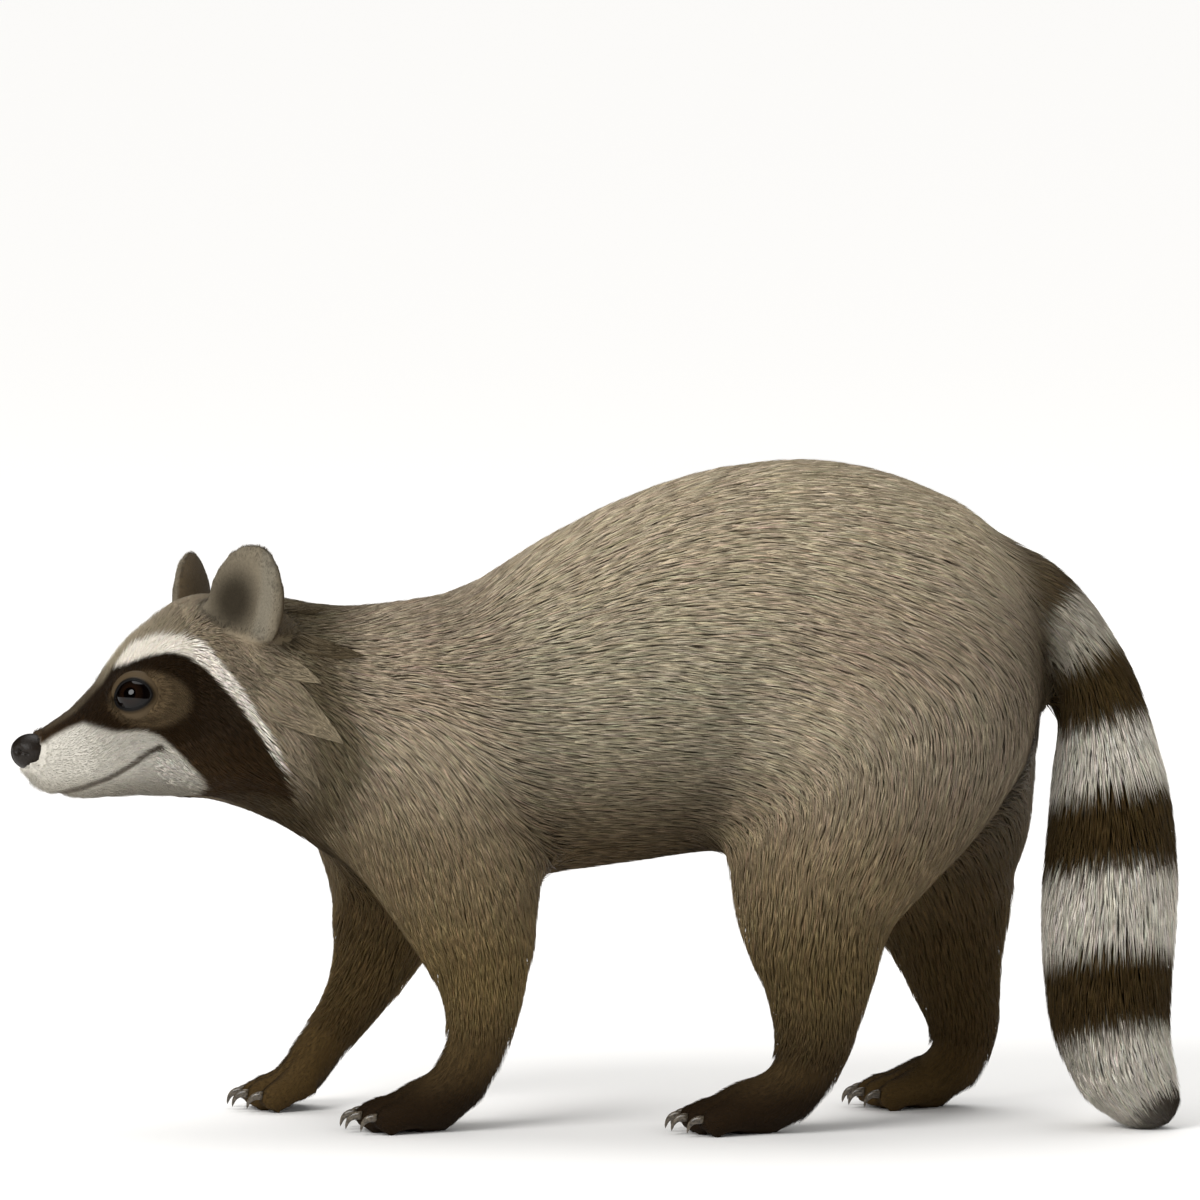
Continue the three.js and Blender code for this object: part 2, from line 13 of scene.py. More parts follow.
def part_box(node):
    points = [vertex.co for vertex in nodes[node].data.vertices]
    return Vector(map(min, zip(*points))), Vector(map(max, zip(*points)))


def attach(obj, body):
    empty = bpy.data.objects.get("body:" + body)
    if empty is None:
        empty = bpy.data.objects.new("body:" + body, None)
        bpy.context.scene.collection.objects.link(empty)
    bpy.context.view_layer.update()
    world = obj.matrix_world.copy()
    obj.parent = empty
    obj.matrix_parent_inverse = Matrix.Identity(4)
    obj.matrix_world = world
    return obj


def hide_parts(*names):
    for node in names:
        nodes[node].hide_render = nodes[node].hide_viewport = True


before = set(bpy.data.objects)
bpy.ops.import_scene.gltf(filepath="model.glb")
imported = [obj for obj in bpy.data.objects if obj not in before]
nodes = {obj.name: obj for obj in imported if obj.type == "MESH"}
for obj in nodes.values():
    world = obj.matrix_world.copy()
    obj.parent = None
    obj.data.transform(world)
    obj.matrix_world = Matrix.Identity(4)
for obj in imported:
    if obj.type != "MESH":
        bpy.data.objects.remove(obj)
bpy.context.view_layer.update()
metre = 0.001  # one millimetre in Blender's units
dice = np.random.default_rng(7)


# Small tools

def smoothStep(value, low, high):
    share = np.clip((value - low) / (high - low), 0.0, 1.0)
    return share * share * (3 - 2 * share)


def mix(first, second, share):
    share = np.asarray(share)[..., None]
    return first * (1 - share) + second * share


def unit(vectors):
    return vectors / np.maximum(np.linalg.norm(vectors, axis=-1, keepdims=True), 1e-9)


def dot(first, second):
    return np.einsum("...i,...i->...", first, second)


def linear(hexColour):  # an sRGB hex value as linear light
    parts = [int(hexColour[i:i + 2], 16) / 255 for i in (1, 3, 5)]
    return np.array([c / 12.92 if c <= 0.04045 else ((c + 0.055) / 1.055) ** 2.4 for c in parts])


def addNode(tree, kind, settings=None, links=None):
    node = tree.nodes.new("ShaderNode" + kind)
    for name, value in (settings or {}).items():
        if name in node.inputs:
            node.inputs[name].default_value = value
        else:
            setattr(node, name, value)
    for name, source in (links or {}).items():
        tree.links.new(source, node.inputs[name])
    return node


def newMaterial(name):
    material = bpy.data.materials.new(name)
    material.use_nodes = True
    material.node_tree.nodes.clear()
    return material, material.node_tree


def finishMaterial(tree, shader):
    addNode(tree, "OutputMaterial", links={"Surface": shader.outputs["BSDF"]})


def placeObject(name, data):
    made = bpy.data.objects.new(name, data)
    bpy.context.scene.collection.objects.link(made)
    return made


def setStops(ramp, stops):  # places on a colour ramp, from 0 to 1, with their hex colours
    elements = ramp.color_ramp.elements
    elements[0].position, elements[-1].position = stops[0][0], stops[-1][0]
    for place, _ in stops[1:-1]:
        elements.new(place)
    for element, (_, value) in zip(elements, stops):
        element.color = (*linear(value), 1)


# A mesh object from arrays: points in mm, corner indices of all faces in a row, and where each face starts
def makeObject(name, points, corners, starts, materials):
    mesh = bpy.data.meshes.new(name)
    mesh.vertices.add(len(points))
    mesh.vertices.foreach_set("co", (points * metre).astype(np.float32).ravel())
    mesh.loops.add(len(corners))
    mesh.loops.foreach_set("vertex_index", np.asarray(corners, np.int32))
    mesh.polygons.add(len(starts))
    mesh.polygons.foreach_set("loop_start", np.asarray(starts, np.int32))
    mesh.polygons.foreach_set("use_smooth", np.ones(len(starts), bool))
    mesh.update(calc_edges=True)
    for material in materials:
        mesh.materials.append(material)
    return placeObject(name, mesh)


def readArray(items, field, width, kind):  # one row of values for each point, edge or face
    values = np.zeros(len(items) * width, kind)
    items.foreach_get(field, values)
    return values.reshape(-1, width)


def setColours(mesh, name, colours):
    layer = mesh.color_attributes.new(name, "FLOAT_COLOR", "POINT")
    full = np.ones((len(colours), 4), np.float32)
    full[:, :3] = colours
    layer.data.foreach_set("color", full.ravel())


# Faces of a grid of rows by columns; the columns close into a ring, and rows may too
def gridFaces(rows, columns, closeRows=False):
    last = rows if closeRows else rows - 1
    i, j = np.meshgrid(np.arange(last), np.arange(columns), indexing="ij")
    nextI, nextJ = (i + 1) % rows, (j + 1) % columns
    quads = np.stack([i * columns + j, i * columns + nextJ, nextI * columns + nextJ, nextI * columns + j], -1)
    return quads.reshape(-1, 4)


# A closed body from rings of points, with a point at each end
def capped(rings, firstTip, lastTip):
    rows, columns = rings.shape[:2]
    points = np.concatenate([rings.reshape(-1, 3), [firstTip, lastTip]])
    faces = gridFaces(rows, columns).tolist()
    for j in range(columns):
        nextJ = (j + 1) % columns
        faces.append([rows * columns, nextJ, j])
        faces.append([rows * columns + 1, (rows - 1) * columns + j, (rows - 1) * columns + nextJ])
    return points, faces


def flatten(faces):
    sizes = np.array([len(f) for f in faces])
    return np.concatenate([np.asarray(f) for f in faces]), np.concatenate([[0], np.cumsum(sizes)[:-1]])


# The head's own axes: a is ahead of the joint with the neck, side is to its own left, z is height

headPlace = {
    "joint": (-165, 0, 214),
    "turn": 20,  # degrees, towards its left
    "tilt": 6,  # degrees, right side down
}
headMatrix = np.array(
    Matrix.Translation(headPlace["joint"])
    @ Matrix.Rotation(math.radians(headPlace["turn"]), 4, "Z")
    @ Matrix.Rotation(math.radians(-headPlace["tilt"]), 4, "X")
)
headInverse = np.linalg.inv(headMatrix)


def toHead(points):
    turned = points @ headInverse[:3, :3].T + headInverse[:3, 3]
    return np.stack([-turned[:, 0], -turned[:, 1], turned[:, 2] + headPlace["joint"][2]], -1)


def headPoint(places):
    places = np.asarray(places, float)
    turned = np.stack([-places[..., 0], -places[..., 1], places[..., 2] - headPlace["joint"][2]], -1)
    return turned @ headMatrix[:3, :3].T + headMatrix[:3, 3]


def headDirection(directions):
    directions = np.asarray(directions, float)
    return unit((directions * np.array([-1, -1, 1])) @ headMatrix[:3, :3].T)


# Lines through the body. The coat lies along them, from each line's first station to its last.
# A station is x, y, z, half height, half width, depth of the coat and length of its hair.

trunkLine = [
    (-166, 0, 216, 53, 52, 4.8, 20),  # nape
    (-126, 0, 203, 61, 59, 5.2, 23),
    (-82, 0, 197, 77, 69, 5.5, 24),  # chest
    (-38, 0, 205, 78, 76, 5.5, 25),
    (10, 0, 223, 89, 86, 5.5, 26),  # waist
    (62, 0, 239, 98, 93, 5.7, 28),
    (106, 0, 242, 104, 95, 6, 29),
    (138, 0, 240, 98.5, 91, 6, 30),  # rump
]
tailLine = [
    (196, 0, 290, 20, 20, 4.6, 22),
    (226, 0, 279, 18.5, 18.5, 4.6, 22),
    (249, 0, 257, 17, 17, 4.6, 23),
    (262, 0, 224, 23, 23, 5.2, 25),
    (267, -2, 188, 30, 30, 7, 27),
    (269, -6, 151, 35.5, 35.5, 8, 28),
    (268, -12, 114, 37, 37, 8, 28),
    (267, -19, 78, 35, 35, 8, 27),
    (269, -27, 46, 30, 30, 7, 25),
    (277, -34, 26, 24.5, 24.5, 5.5, 21),
    (287, -38, 15, 18, 18, 4.6, 17),
]
leftForeLine = [
    (-84, -40, 176, 54, 36, 5.2, 23),
    (-66, -52, 122, 40, 28, 4.6, 19),
    (-58, -53, 88, 26, 21, 3.6, 14),
    (-58, -51, 57, 18.5, 17, 2.6, 10),
    (-64, -49, 34, 16, 15.5, 1.8, 7),
    (-78, -48, 17, 16, 17, 1.2, 4.5),
    (-92, -48, 12.7, 14, 19, 0.9, 3.6),
    (-117, -48, 8, 9, 24, 0.7, 3),
]
rightForeLine = [
    (-94, 40, 168, 55, 36, 5.2, 23),
    (-103, 52, 122, 38, 28, 4.6, 19),
    (-113, 53, 86, 25, 20, 3.6, 14),
    (-124, 51, 60, 16.5, 16, 2.6, 10),
    (-137, 49, 42, 14.5, 14.5, 1.8, 7),
    (-147, 48, 29, 13.5, 16, 1.2, 4.5),
    (-154, 48, 18, 12.5, 18.5, 0.9, 3.6),
    (-179, 48, 8, 9, 24, 0.7, 3),
]
leftHindLine = [
    (146, -40, 208, 77, 52, 5.7, 28),
    (131, -50, 165, 59, 44, 5.2, 25),
    (113, -57, 126, 45, 33, 4.8, 20),
    (116, -58, 88, 32, 24, 4, 15),
    (115, -57, 64, 24, 20, 3.3, 12),
    (113, -56, 42, 19.5, 17.5, 2.4, 9),
    (101, -56, 21, 17.5, 17, 1.8, 6),
    (88, -56, 15, 15.5, 17, 1.2, 4.5),
    (76, -56, 13.1, 14.5, 19, 0.9, 3.6),
    (51, -56, 8, 9, 24, 0.7, 3),
]
rightHindLine = [
    (150, 40, 208, 84, 52, 5.7, 28),
    (165, 50, 165, 68, 44, 5.2, 25),
    (180, 57, 122, 45, 33, 4.8, 20),
    (186, 58, 88, 30, 24, 4, 15),
    (192, 57, 60, 23, 20, 3.3, 12),
    (196, 56, 40, 17.5, 17, 2.4, 9),
    (187, 56, 19, 16.5, 16.5, 1.8, 6),
    (178, 56, 14, 14, 16.5, 1.2, 4.5),
    (170, 56, 12.7, 14, 19, 0.9, 3.6),
    (145, 56, 8, 9, 24, 0.7, 3),
]
# In the head's own axes: a, side, z and the same four sizes
skullLine = [
    (146, 0, 193, 8, 8, 0.6, 2.6),  # behind the nose pad
    (127, 0, 192, 17, 16, 0.8, 3.2),
    (103, 0, 199, 28, 22.5, 1.2, 4.4),
    (91, 0, 206, 35, 29, 1.8, 5.2),
    (72, 0, 216, 45, 41, 2.6, 6.5),
    (42, 0, 223, 53, 51, 3.6, 9),  # crown
    (10, 0, 221, 54, 53, 5, 13),
    (-25, 0, 215, 51, 51, 6.5, 18),
]
cheekLine = [
    (66, 26, 194, 15, 13, 2.6, 7),
    (40, 40, 194, 21, 18, 4.2, 13),
    (12, 49, 192, 27, 20, 6.5, 22),  # tip of the ruff
    (-10, 52, 190, 26, 19, 7, 24),
]
ear = {
    "foot": (33, 41, 250),
    "height": 53,
    "lean": 9,  # degrees, backwards
    "spread": 17,  # degrees, outwards
    "face": 34,  # degrees: how far outwards the cup looks
    "halfWidth": 24,
    "hairDepth": 0.3,
    "hairLength": 3.8,
}


def earFoot(hand):
    a, side, z = ear["foot"]
    return headPoint((a, hand * side, z))


def earAxes(hand):  # up along the ear, and the way its cup looks
    lean, spread, face = (math.radians(ear[k]) for k in ("lean", "spread", "face"))
    turn = Matrix.Rotation(hand * spread, 3, "X") @ Matrix.Rotation(lean, 3, "Y")
    upward = turn @ Vector((0, 0, 1))
    outlook = turn @ Matrix.Rotation(hand * face, 3, "Z") @ Vector((-1, 0, 0))
    turned = headMatrix[:3, :3]
    return turned @ np.array(upward), turned @ np.array(outlook)


def makeLine(rows, place=lambda p: p):
    table = np.array(rows, float)
    at = place(table[:, :3])
    steps = unit(np.diff(at, axis=0))
    tangents = unit(np.concatenate([steps[:1], steps[:-1] + steps[1:], steps[-1:]]))
    reach = np.concatenate([[0], np.cumsum(np.linalg.norm(np.diff(at, axis=0), axis=1))])
    return {"at": at, "tangents": tangents, "reach": reach, "sizes": table[:, 3:]}


def mirrored(rows):
    return [(r[0], -r[1], *r[2:]) for r in rows]


def earLine(hand):
    upward, _ = earAxes(hand)
    sizes = [ear["halfWidth"], ear["halfWidth"], ear["hairDepth"], ear["hairLength"]]
    rows = [[*(earFoot(hand) + upward * high), *sizes] for high in (2, 20, 36, ear["height"])]
    return makeLine(rows)


lines = {
    "trunk": makeLine(trunkLine),
    "tail": makeLine(tailLine),
    "leftFore": makeLine(leftForeLine),
    "rightFore": makeLine(rightForeLine),
    "leftHind": makeLine(leftHindLine),
    "rightHind": makeLine(rightHindLine),
    "skull": makeLine(skullLine, headPoint),
    "leftCheek": makeLine(cheekLine, headPoint),
    "rightCheek": makeLine(mirrored(cheekLine), headPoint),
    "leftEar": earLine(1),
    "rightEar": earLine(-1),
}
lineNames = list(lines)
lineIndex = {name: i for i, name in enumerate(lineNames)}


# Where points lie along one line: how near its form's surface, the way it runs, how far along, and its sizes
def alongLine(line, points):
    start, end = line["at"][:-1], line["at"][1:]
    step = end - start
    toPoint = points[:, None, :] - start
    share = np.clip(np.einsum("nmi,mi->nm", toPoint, step) / dot(step, step), 0, 1)
    away = toPoint - share[..., None] * step
    sizes = line["sizes"][:-1] + share[..., None] * (line["sizes"][1:] - line["sizes"][:-1])
    flat = sizes[..., 0] / sizes[..., 1]
    across = np.sqrt(away[..., 0] ** 2 + (away[..., 1] * flat) ** 2 + away[..., 2] ** 2)
    ratio = across / sizes[..., 0]
    best = ratio.argmin(1)
    rows = np.arange(len(points))
    share, ratio, sizes, away = share[rows, best], ratio[rows, best], sizes[rows, best], away[rows, best]
    tangent = mix(line["tangents"][best], line["tangents"][best + 1], share)
    along = line["reach"][best] + share * (line["reach"][best + 1] - line["reach"][best])
    return ratio, unit(tangent), along, sizes, away


blendWidth = 0.1  # how softly one form's coat runs into the next


def readBody(points):
    found = [alongLine(lines[name], points) for name in lineNames]
    ratios = np.stack([f[0] for f in found], 1)
    for name in ("leftEar", "rightEar"):  # an ear reaches no further than its foot
        hand = 1 if name == "leftEar" else -1
        upward, _ = earAxes(hand)
        height = (points - earFoot(hand)) @ upward
        ratios[:, lineIndex[name]] += 3 * (1 - smoothStep(height, -6, 6)) - 0.35 * smoothStep(height, 2, 10)
    weights = np.exp(-(ratios - ratios.min(1, keepdims=True)) / blendWidth)
    weights /= weights.sum(1, keepdims=True)
    sizes = np.einsum("nl,nlk->nk", weights, np.stack([f[3] for f in found], 1))
    lie = np.einsum("nl,nlk->nk", weights, np.stack([f[1] for f in found], 1))
    region = ratios.argmin(1)
    rows = np.arange(len(points))
    return {
        "weights": weights,
        "region": region,
        "lie": unit(lie),
        "along": np.stack([f[2] for f in found], 1)[rows, region],
        "tailAlong": found[lineIndex["tail"]][2],
        "away": np.stack([f[4] for f in found], 1)[rows, region],
        "axis": np.stack([f[1] for f in found], 1)[rows, region],
        "depth": sizes[:, 2],
        "length": sizes[:, 3],
    }


def weightOf(body, *names):
    return sum(body["weights"][:, lineIndex[name]] for name in names)


# Eyes: the ball sits in its socket, its axis ahead, outwards and a little up

eye = {
    "centre": (82.6, 22.6, 222),
    "axis": (0.61, 0.76, 0.2),
    "radius": 11.5,
    "halfOpening": (9.6, 7.4),  # mm across and high, between the lids
}


def eyeAxes(hand):
    a, side, z = eye["centre"]
    centre = headPoint((a, hand * side, z))
    ahead, out, up = eye["axis"]
    axis = headDirection((ahead, hand * out, up))
    upward = headDirection((0, 0, 1))
    upward = unit(upward - axis * (upward @ axis))
    forward = unit(headDirection((1, 0, 0)) - axis * (headDirection((1, 0, 0)) @ axis))
    forward = unit(forward - upward * (forward @ upward))
    return centre, axis, forward, upward


eyes = {"left": eyeAxes(1), "right": eyeAxes(-1)}


def nearEye(points):  # how many openings away the nearer eye's axis is, and the way out from it
    nearest, outward = np.full(len(points), 9.0), np.ones_like(points)
    wide, high = eye["halfOpening"]
    for centre, axis, forward, upward in eyes.values():
        offset = points - centre
        x, y = offset @ forward, offset @ upward
        ratio = np.where(offset @ axis > -6, np.hypot(x / wide, y / high), 9.0)
        closer = ratio < nearest
        nearest[closer] = ratio[closer]
        outward[closer] = (x[:, None] * forward + y[:, None] * upward)[closer]
    return nearest, unit(outward)


# Markings, as colours at points of the skin. Outlines on the head are drawn in its side view, as a and z.

hues = {
    # paler back: partly the coat's own colour, partly painted light from above
    "back": "#baab91",
    "flank": "#afa48c",
    "shoulder": "#a3947e",
    "haunch": "#ab9b84",
    # darker belly: partly the coat's own colour, partly painted shade under the body
    "belly": "#5d4d36",
    # darker neck: its own colour and painted shadow under the ruff
    "neck": "#655a45",
    "nape": "#594d39",
    "throat": "#483b26",
    # painted shade round the rump's rear and at the tail's root
    "rumpShade": "#584b37",
    "thigh": "#88775b",
    "shank": "#695838",
    "ankle": "#42331c",
    "foot": "#211506",
    # painted shade on the inner sides of the legs
    "innerLegShade": "#4d3b1e",
    "tailPale": "#ccc6b9",
    "tailFirst": "#a7a091",
    "tailDark": "#3c2d11",
    "tailTip": "#241706",
    "crown": "#8c7e68",
    "forehead": "#9c9079",
    "bridge": "#554937",
    "noseBridge": "#35291b",
    "brow": "#eee7db",
    "mask": "#221402",
    "maskCheek": "#36250f",
    "eyeRing": "#564732",
    "muzzle": "#c0bbb0",
    # partly the chin's own colour, partly painted shade under the muzzle
    "chin": "#9e988b",
    "lip": "#7b7367",
    "lipCorner": "#4a4136",
    "lidRim": "#080605",
    "ruff": "#877a66",
    "earBack": "#443929",
    "earTop": "#6f6656",
    # painted shade in the hollow of the ear's cup
    "earCupShade": "#2c261c",
    "earBand": "#716a5c",
    "ruffLow": "#7c705b",
    "ruffTip": "#93866e",
}
hues = {name: linear(value) for name, value in hues.items()}

browPath = [
    (90, 239), (86.7, 241.5), (79.8, 246.6), (69.7, 249.6), (62, 249.2), (55.5, 245.4),
    (49.5, 237.8), (42.4, 227.4), (36, 217), (29.4, 204.8), (24, 195), (19, 185),
]
browHalf = [0.8, 2.2, 3.9, 4.9, 5.0, 4.7, 4.0, 3.3, 2.8, 2.2, 1.5, 0.4]
maskOutline = [
    (94, 240), (84, 243.5), (76, 246), (68, 246), (59, 242), (51.5, 234), (44.5, 224), (38, 214),
    (30.5, 202), (24, 192), (17, 180), (9, 167), (0, 153), (-8, 140), (66, 140), (58, 166),
    (54, 173), (55, 178), (59, 183.8), (65.8, 191.8), (76, 201.5), (83, 204.5), (96.4, 204.6),
    (105.3, 207.6), (110.4, 210), (118, 208), (128, 203), (136, 199), (138, 206), (116, 214),
    (104.5, 223), (98, 232),
]
muzzleOutline = [
    (154, 174), (152, 188), (141, 191.5), (133.3, 198.7), (124.9, 203.7), (117, 207.6),
    (110.4, 210), (105.3, 207.6), (96.4, 204.6), (83, 204.5), (76, 201.5), (65.8, 191.8),
    (59, 183.8), (55, 178), (54, 173), (58, 166), (66, 150), (150, 150),
]
mouthPath = [(124, 172.6), (121, 174), (110, 176.8), (98, 181), (88, 187), (80.5, 193.6), (75, 196.4)]


def fromPath(a, z, path, values=None):  # distance from an open line, and a value carried along it
    start, end = np.array(path[:-1], float), np.array(path[1:], float)
    step = end - start
    offset = np.stack([a, z], -1)[:, None, :] - start
    share = np.clip(np.einsum("nmi,mi->nm", offset, step) / dot(step, step), 0, 1)
    distance = np.linalg.norm(offset - share[..., None] * step, axis=-1)
    best = distance.argmin(1)
    rows = np.arange(len(a))
    if values is None:
        return distance[rows, best]
    values = np.array(values, float)
    return distance[rows, best], values[best] + share[rows, best] * (values[best + 1] - values[best])


def insideOutline(a, z, outline):  # distance inside a closed outline, negative outside
    closed = outline + outline[:1]
    distance = fromPath(a, z, closed)
    start, end = np.array(closed[:-1], float), np.array(closed[1:], float)
    crosses = (start[:, 1] > z[:, None]) != (end[:, 1] > z[:, None])
    share = (z[:, None] - start[:, 1]) / (end[:, 1] - start[:, 1] + 1e-9)
    where = start[:, 0] + share * (end[:, 0] - start[:, 0])
    inside = (crosses & (a[:, None] < where)).sum(1) % 2 == 1
    return np.where(inside, distance, -distance)


def paint(ground, *layers):  # each layer is a hue's name and how much of it covers
    for hue, share in layers:
        ground = mix(ground, hues[hue], share)
    return ground


def headMarkings(points):
    place = toHead(points)
    a, side, z = place[:, 0], np.abs(place[:, 1]), place[:, 2]
    found = paint(
        hues["crown"],
        ("forehead", smoothStep(a, 40, 80)),
        ("ruff", smoothStep(side, 34, 46) * (1 - smoothStep(z, 238, 256))),
        ("nape", (1 - smoothStep(a, 4, 30)) * smoothStep(z, 236, 252)),
        # the neck behind the head: its own colour and painted shadow under the ruff
        ("neck", 1 - smoothStep(a, -2, 16)),
        ("throat", (1 - smoothStep(z, 160, 182)) * (1 - smoothStep(a, 30, 50))),
        ("bridge", smoothStep(a, 86, 104)),
        ("noseBridge", smoothStep(a, 112, 134)),
    )
    masked = smoothStep(insideOutline(a, z, maskOutline), -1.2, 1.2) * smoothStep(side, 4, 9)
    found = mix(found, mix(hues["mask"], hues["maskCheek"], 1 - smoothStep(z, 180, 212)), masked)
    ring = np.hypot((a - 79) / 19.5, (z - 220.5) / 15.5)
    fromBrow, half = fromPath(a, z, browPath, browHalf)
    found = paint(
        found,
        ("eyeRing", 0.92 * (1 - smoothStep(ring, 0.8, 1.06)) * smoothStep(side, 14, 20)),
        ("brow", smoothStep(half - fromBrow, -0.9, 0.9) * smoothStep(side, 5, 9)),
    )
    # paler muzzle above, darker towards the chin: partly its own colour, partly painted shade under the
    # muzzle
    pale = mix(hues["chin"], hues["muzzle"], smoothStep(z, 172, 186))
    found = mix(found, pale, smoothStep(insideOutline(a, z, muzzleOutline), -1.6, 1.6))
    lip = mix(hues["lip"], hues["lipCorner"], 1 - smoothStep(a, 76, 90))
    return mix(found, lip, 1 - smoothStep(fromPath(a, z, mouthPath), 0.5, 2.0))


def earMarkings(points, normals):
    found = np.zeros_like(points)
    isLeft = toHead(points)[:, 1] > 0
    for hand in (1, -1):
        upward, outlook = earAxes(hand)
        offset = points - earFoot(hand)
        height = offset @ upward
        halfWidth = ear["halfWidth"] * np.sqrt(np.clip(1 - ((height - 18) / 36) ** 2, 0.05, 1))
        across = hand * (offset @ np.cross(upward, outlook)) / halfWidth  # 1 at the outer rim
        # a dark patch low in the cup: painted shade in its hollow
        patch = np.hypot((across + 0.26) / 0.78, (height - 19) / 23)
        band = smoothStep(across, 0.3, 0.5) * (1 - smoothStep(across, 0.74, 0.95))
        cup = paint(hues["earTop"], ("earCupShade", 1 - smoothStep(patch, 0.25, 1.2)), ("earBand", band))
        inCup = smoothStep(normals @ outlook, -0.05, 0.35) * (1 - smoothStep(across, 1.0, 1.1))
        inCup = inCup * smoothStep(offset @ outlook, -7, -3)
        tint = mix(mix(hues["earBack"], cup, inCup), hues["crown"], 1 - smoothStep(height, -2, 8))
        mine = isLeft == (hand > 0)
        found[mine] = tint[mine]
    return found


tailBands = [(44, 75), (113, 147), (190, 233), (276, 317)]  # pale bands, mm along the tail


def tailMarkings(points, body):
    along = body["tailAlong"] + 0.12 * (points[:, 0] - 268)  # the rings slant a little
    pale = np.zeros(len(points))
    for start, end in tailBands:
        pale += smoothStep(along, start - 6, start + 5) * (1 - smoothStep(along, end - 5, end + 6))
    bright = mix(hues["tailFirst"], hues["tailPale"], smoothStep(along, 70, 125))
    dark = mix(hues["tailDark"], hues["tailTip"], smoothStep(along, 310, 322))
    # the tail's root takes the rump's painted shade
    dark = mix(hues["rumpShade"], dark, smoothStep(along, 20, 50))
    return mix(dark, bright, pale)


def legMarkings(points, normals):
    z = points[:, 2]
    found = paint(hues["foot"], ("ankle", smoothStep(z, 14, 36)), ("shank", smoothStep(z, 30, 80)))
    found = found * (1 + 0.35 * smoothStep(z, 24, 60) * (1 - smoothStep(points[:, 0], -20, 20)))[:, None]
    # the inner sides of the legs, low down, are darker: painted shade
    inward = -normals[:, 1] * np.sign(points[:, 1])
    return paint(
        found,
        ("thigh", smoothStep(z, 80, 150)),
        ("shoulder", smoothStep(z, 135, 205)),
        ("innerLegShade", 0.8 * smoothStep(inward, -0.1, 0.6) * (1 - smoothStep(z, 120, 170))),
    )


def trunkMarkings(points):
    x, z = points[:, 0], points[:, 2]
    # darker low on the sides and belly, paler along the back: partly the coat's own colour, partly painted
    # shade below and painted light from above
    found = paint(
        hues["belly"],
        ("flank", smoothStep(z, 134, 232)),
        ("haunch", smoothStep(x, 60, 130) * smoothStep(z, 200, 240)),
        ("back", smoothStep(z, 240, 305)),
        ("shoulder", smoothStep(x, -20, -70) * smoothStep(z, 180, 215)),
    )
    # the neck darkens behind the ruff: its own colour and painted shadow under the ruff's locks
    neck = mix(hues["throat"], hues["neck"], smoothStep(z, 158, 205))
    found = mix(found, neck, 1 - smoothStep(x + 0.3 * (z - 205), -134, -104))
    # painted shade round the rump's rear
    return mix(found, hues["rumpShade"], smoothStep(x - 0.25 * (z - 240), 196, 238))


paintedShadeShares = {  # shares of painted shade, by which the coat is darker, and painted light, by which it is paler
    "aheadOfThigh": 0.3,
    "behindShoulder": 0.24,
    "overThigh": 0.16,
    "overShoulder": 0.14,
    "rump": 0.32,
}


def paintedShadeAndLight(points):  # painted shade: darker ahead of the thighs, behind the shoulders and round the rump; painted light: paler between
    x, side, z = points[:, 0], np.abs(points[:, 1]), points[:, 2]
    onSide = smoothStep(side, 26, 52) * (1 - smoothStep(z, 222, 264)) * smoothStep(z, 90, 125)
    thigh = x - np.interp(z, [120, 170, 208, 245, 262], [60, 58, 62, 80, 96])
    shoulder = x - np.interp(z, [130, 190, 230], [-31, -28, -36])
    ahead = np.where(thigh < 0, np.exp(thigh / 36), np.exp(-((thigh / 8) ** 2)))
    behind = np.exp(-np.abs(shoulder) / 11)
    shade = 1 - onSide * (paintedShadeShares["aheadOfThigh"] * ahead + paintedShadeShares["behindShoulder"] * behind)
    shade += paintedShadeShares["overThigh"] * onSide * np.exp(-((thigh - 44) ** 2) / 700)
    overShoulder = np.exp(-((shoulder + 48) ** 2) / 500)
    shade += paintedShadeShares["overShoulder"] * onSide * overShoulder * smoothStep(z, 150, 185)
    rear = smoothStep(x - 0.2 * (z - 220), 128, 222) * smoothStep(z, 110, 150) * (1 - smoothStep(z, 290, 330))
    return shade * (1 - paintedShadeShares["rump"] * rear)


def markings(points, normals, body):
    trunk = weightOf(body, "trunk")
    tail = weightOf(body, "tail")
    legs = weightOf(body, "leftFore", "rightFore", "leftHind", "rightHind")
    skull = weightOf(body, "skull", "leftCheek", "rightCheek")
    ears = weightOf(body, "leftEar", "rightEar")
    # painted shade and painted light of the body's form, on trunk and legs
    shade = paintedShadeAndLight(points)
    return (
        (trunk * shade)[:, None] * trunkMarkings(points)
        + tail[:, None] * tailMarkings(points, body)
        + (legs * shade)[:, None] * legMarkings(points, normals)
        + skull[:, None] * headMarkings(points)
        + ears[:, None] * earMarkings(points, normals)
    )


# The skin: all flesh joined, wrapped in one net, smoothed and drawn in by the depth of the coat

skinMake = {
    "overlap": 0.5,  # mm that each solid grows, so that the gaps between them close
    "voxel": 2.9,  # mm between points of the net
    "smoothing": 44,  # steps on the trunk
    "givenBack": 20,  # steps that spread what the smoothing took, before it is added again
    "lipDepth": 1.3,
    "toeCleft": 1.6,
    "underEye": 2.6,  # mm from the eyeball's surface down to the skin
    "sole": 1.2,  # what is lower than this, in mm, lies flat on the floor
    "lastPasses": 2,  # rounds that lift the skin to its depth under the solids
}
fleshNodes = [n for n in nodes if "claw" not in n and "eye" not in n and n != "nose"]


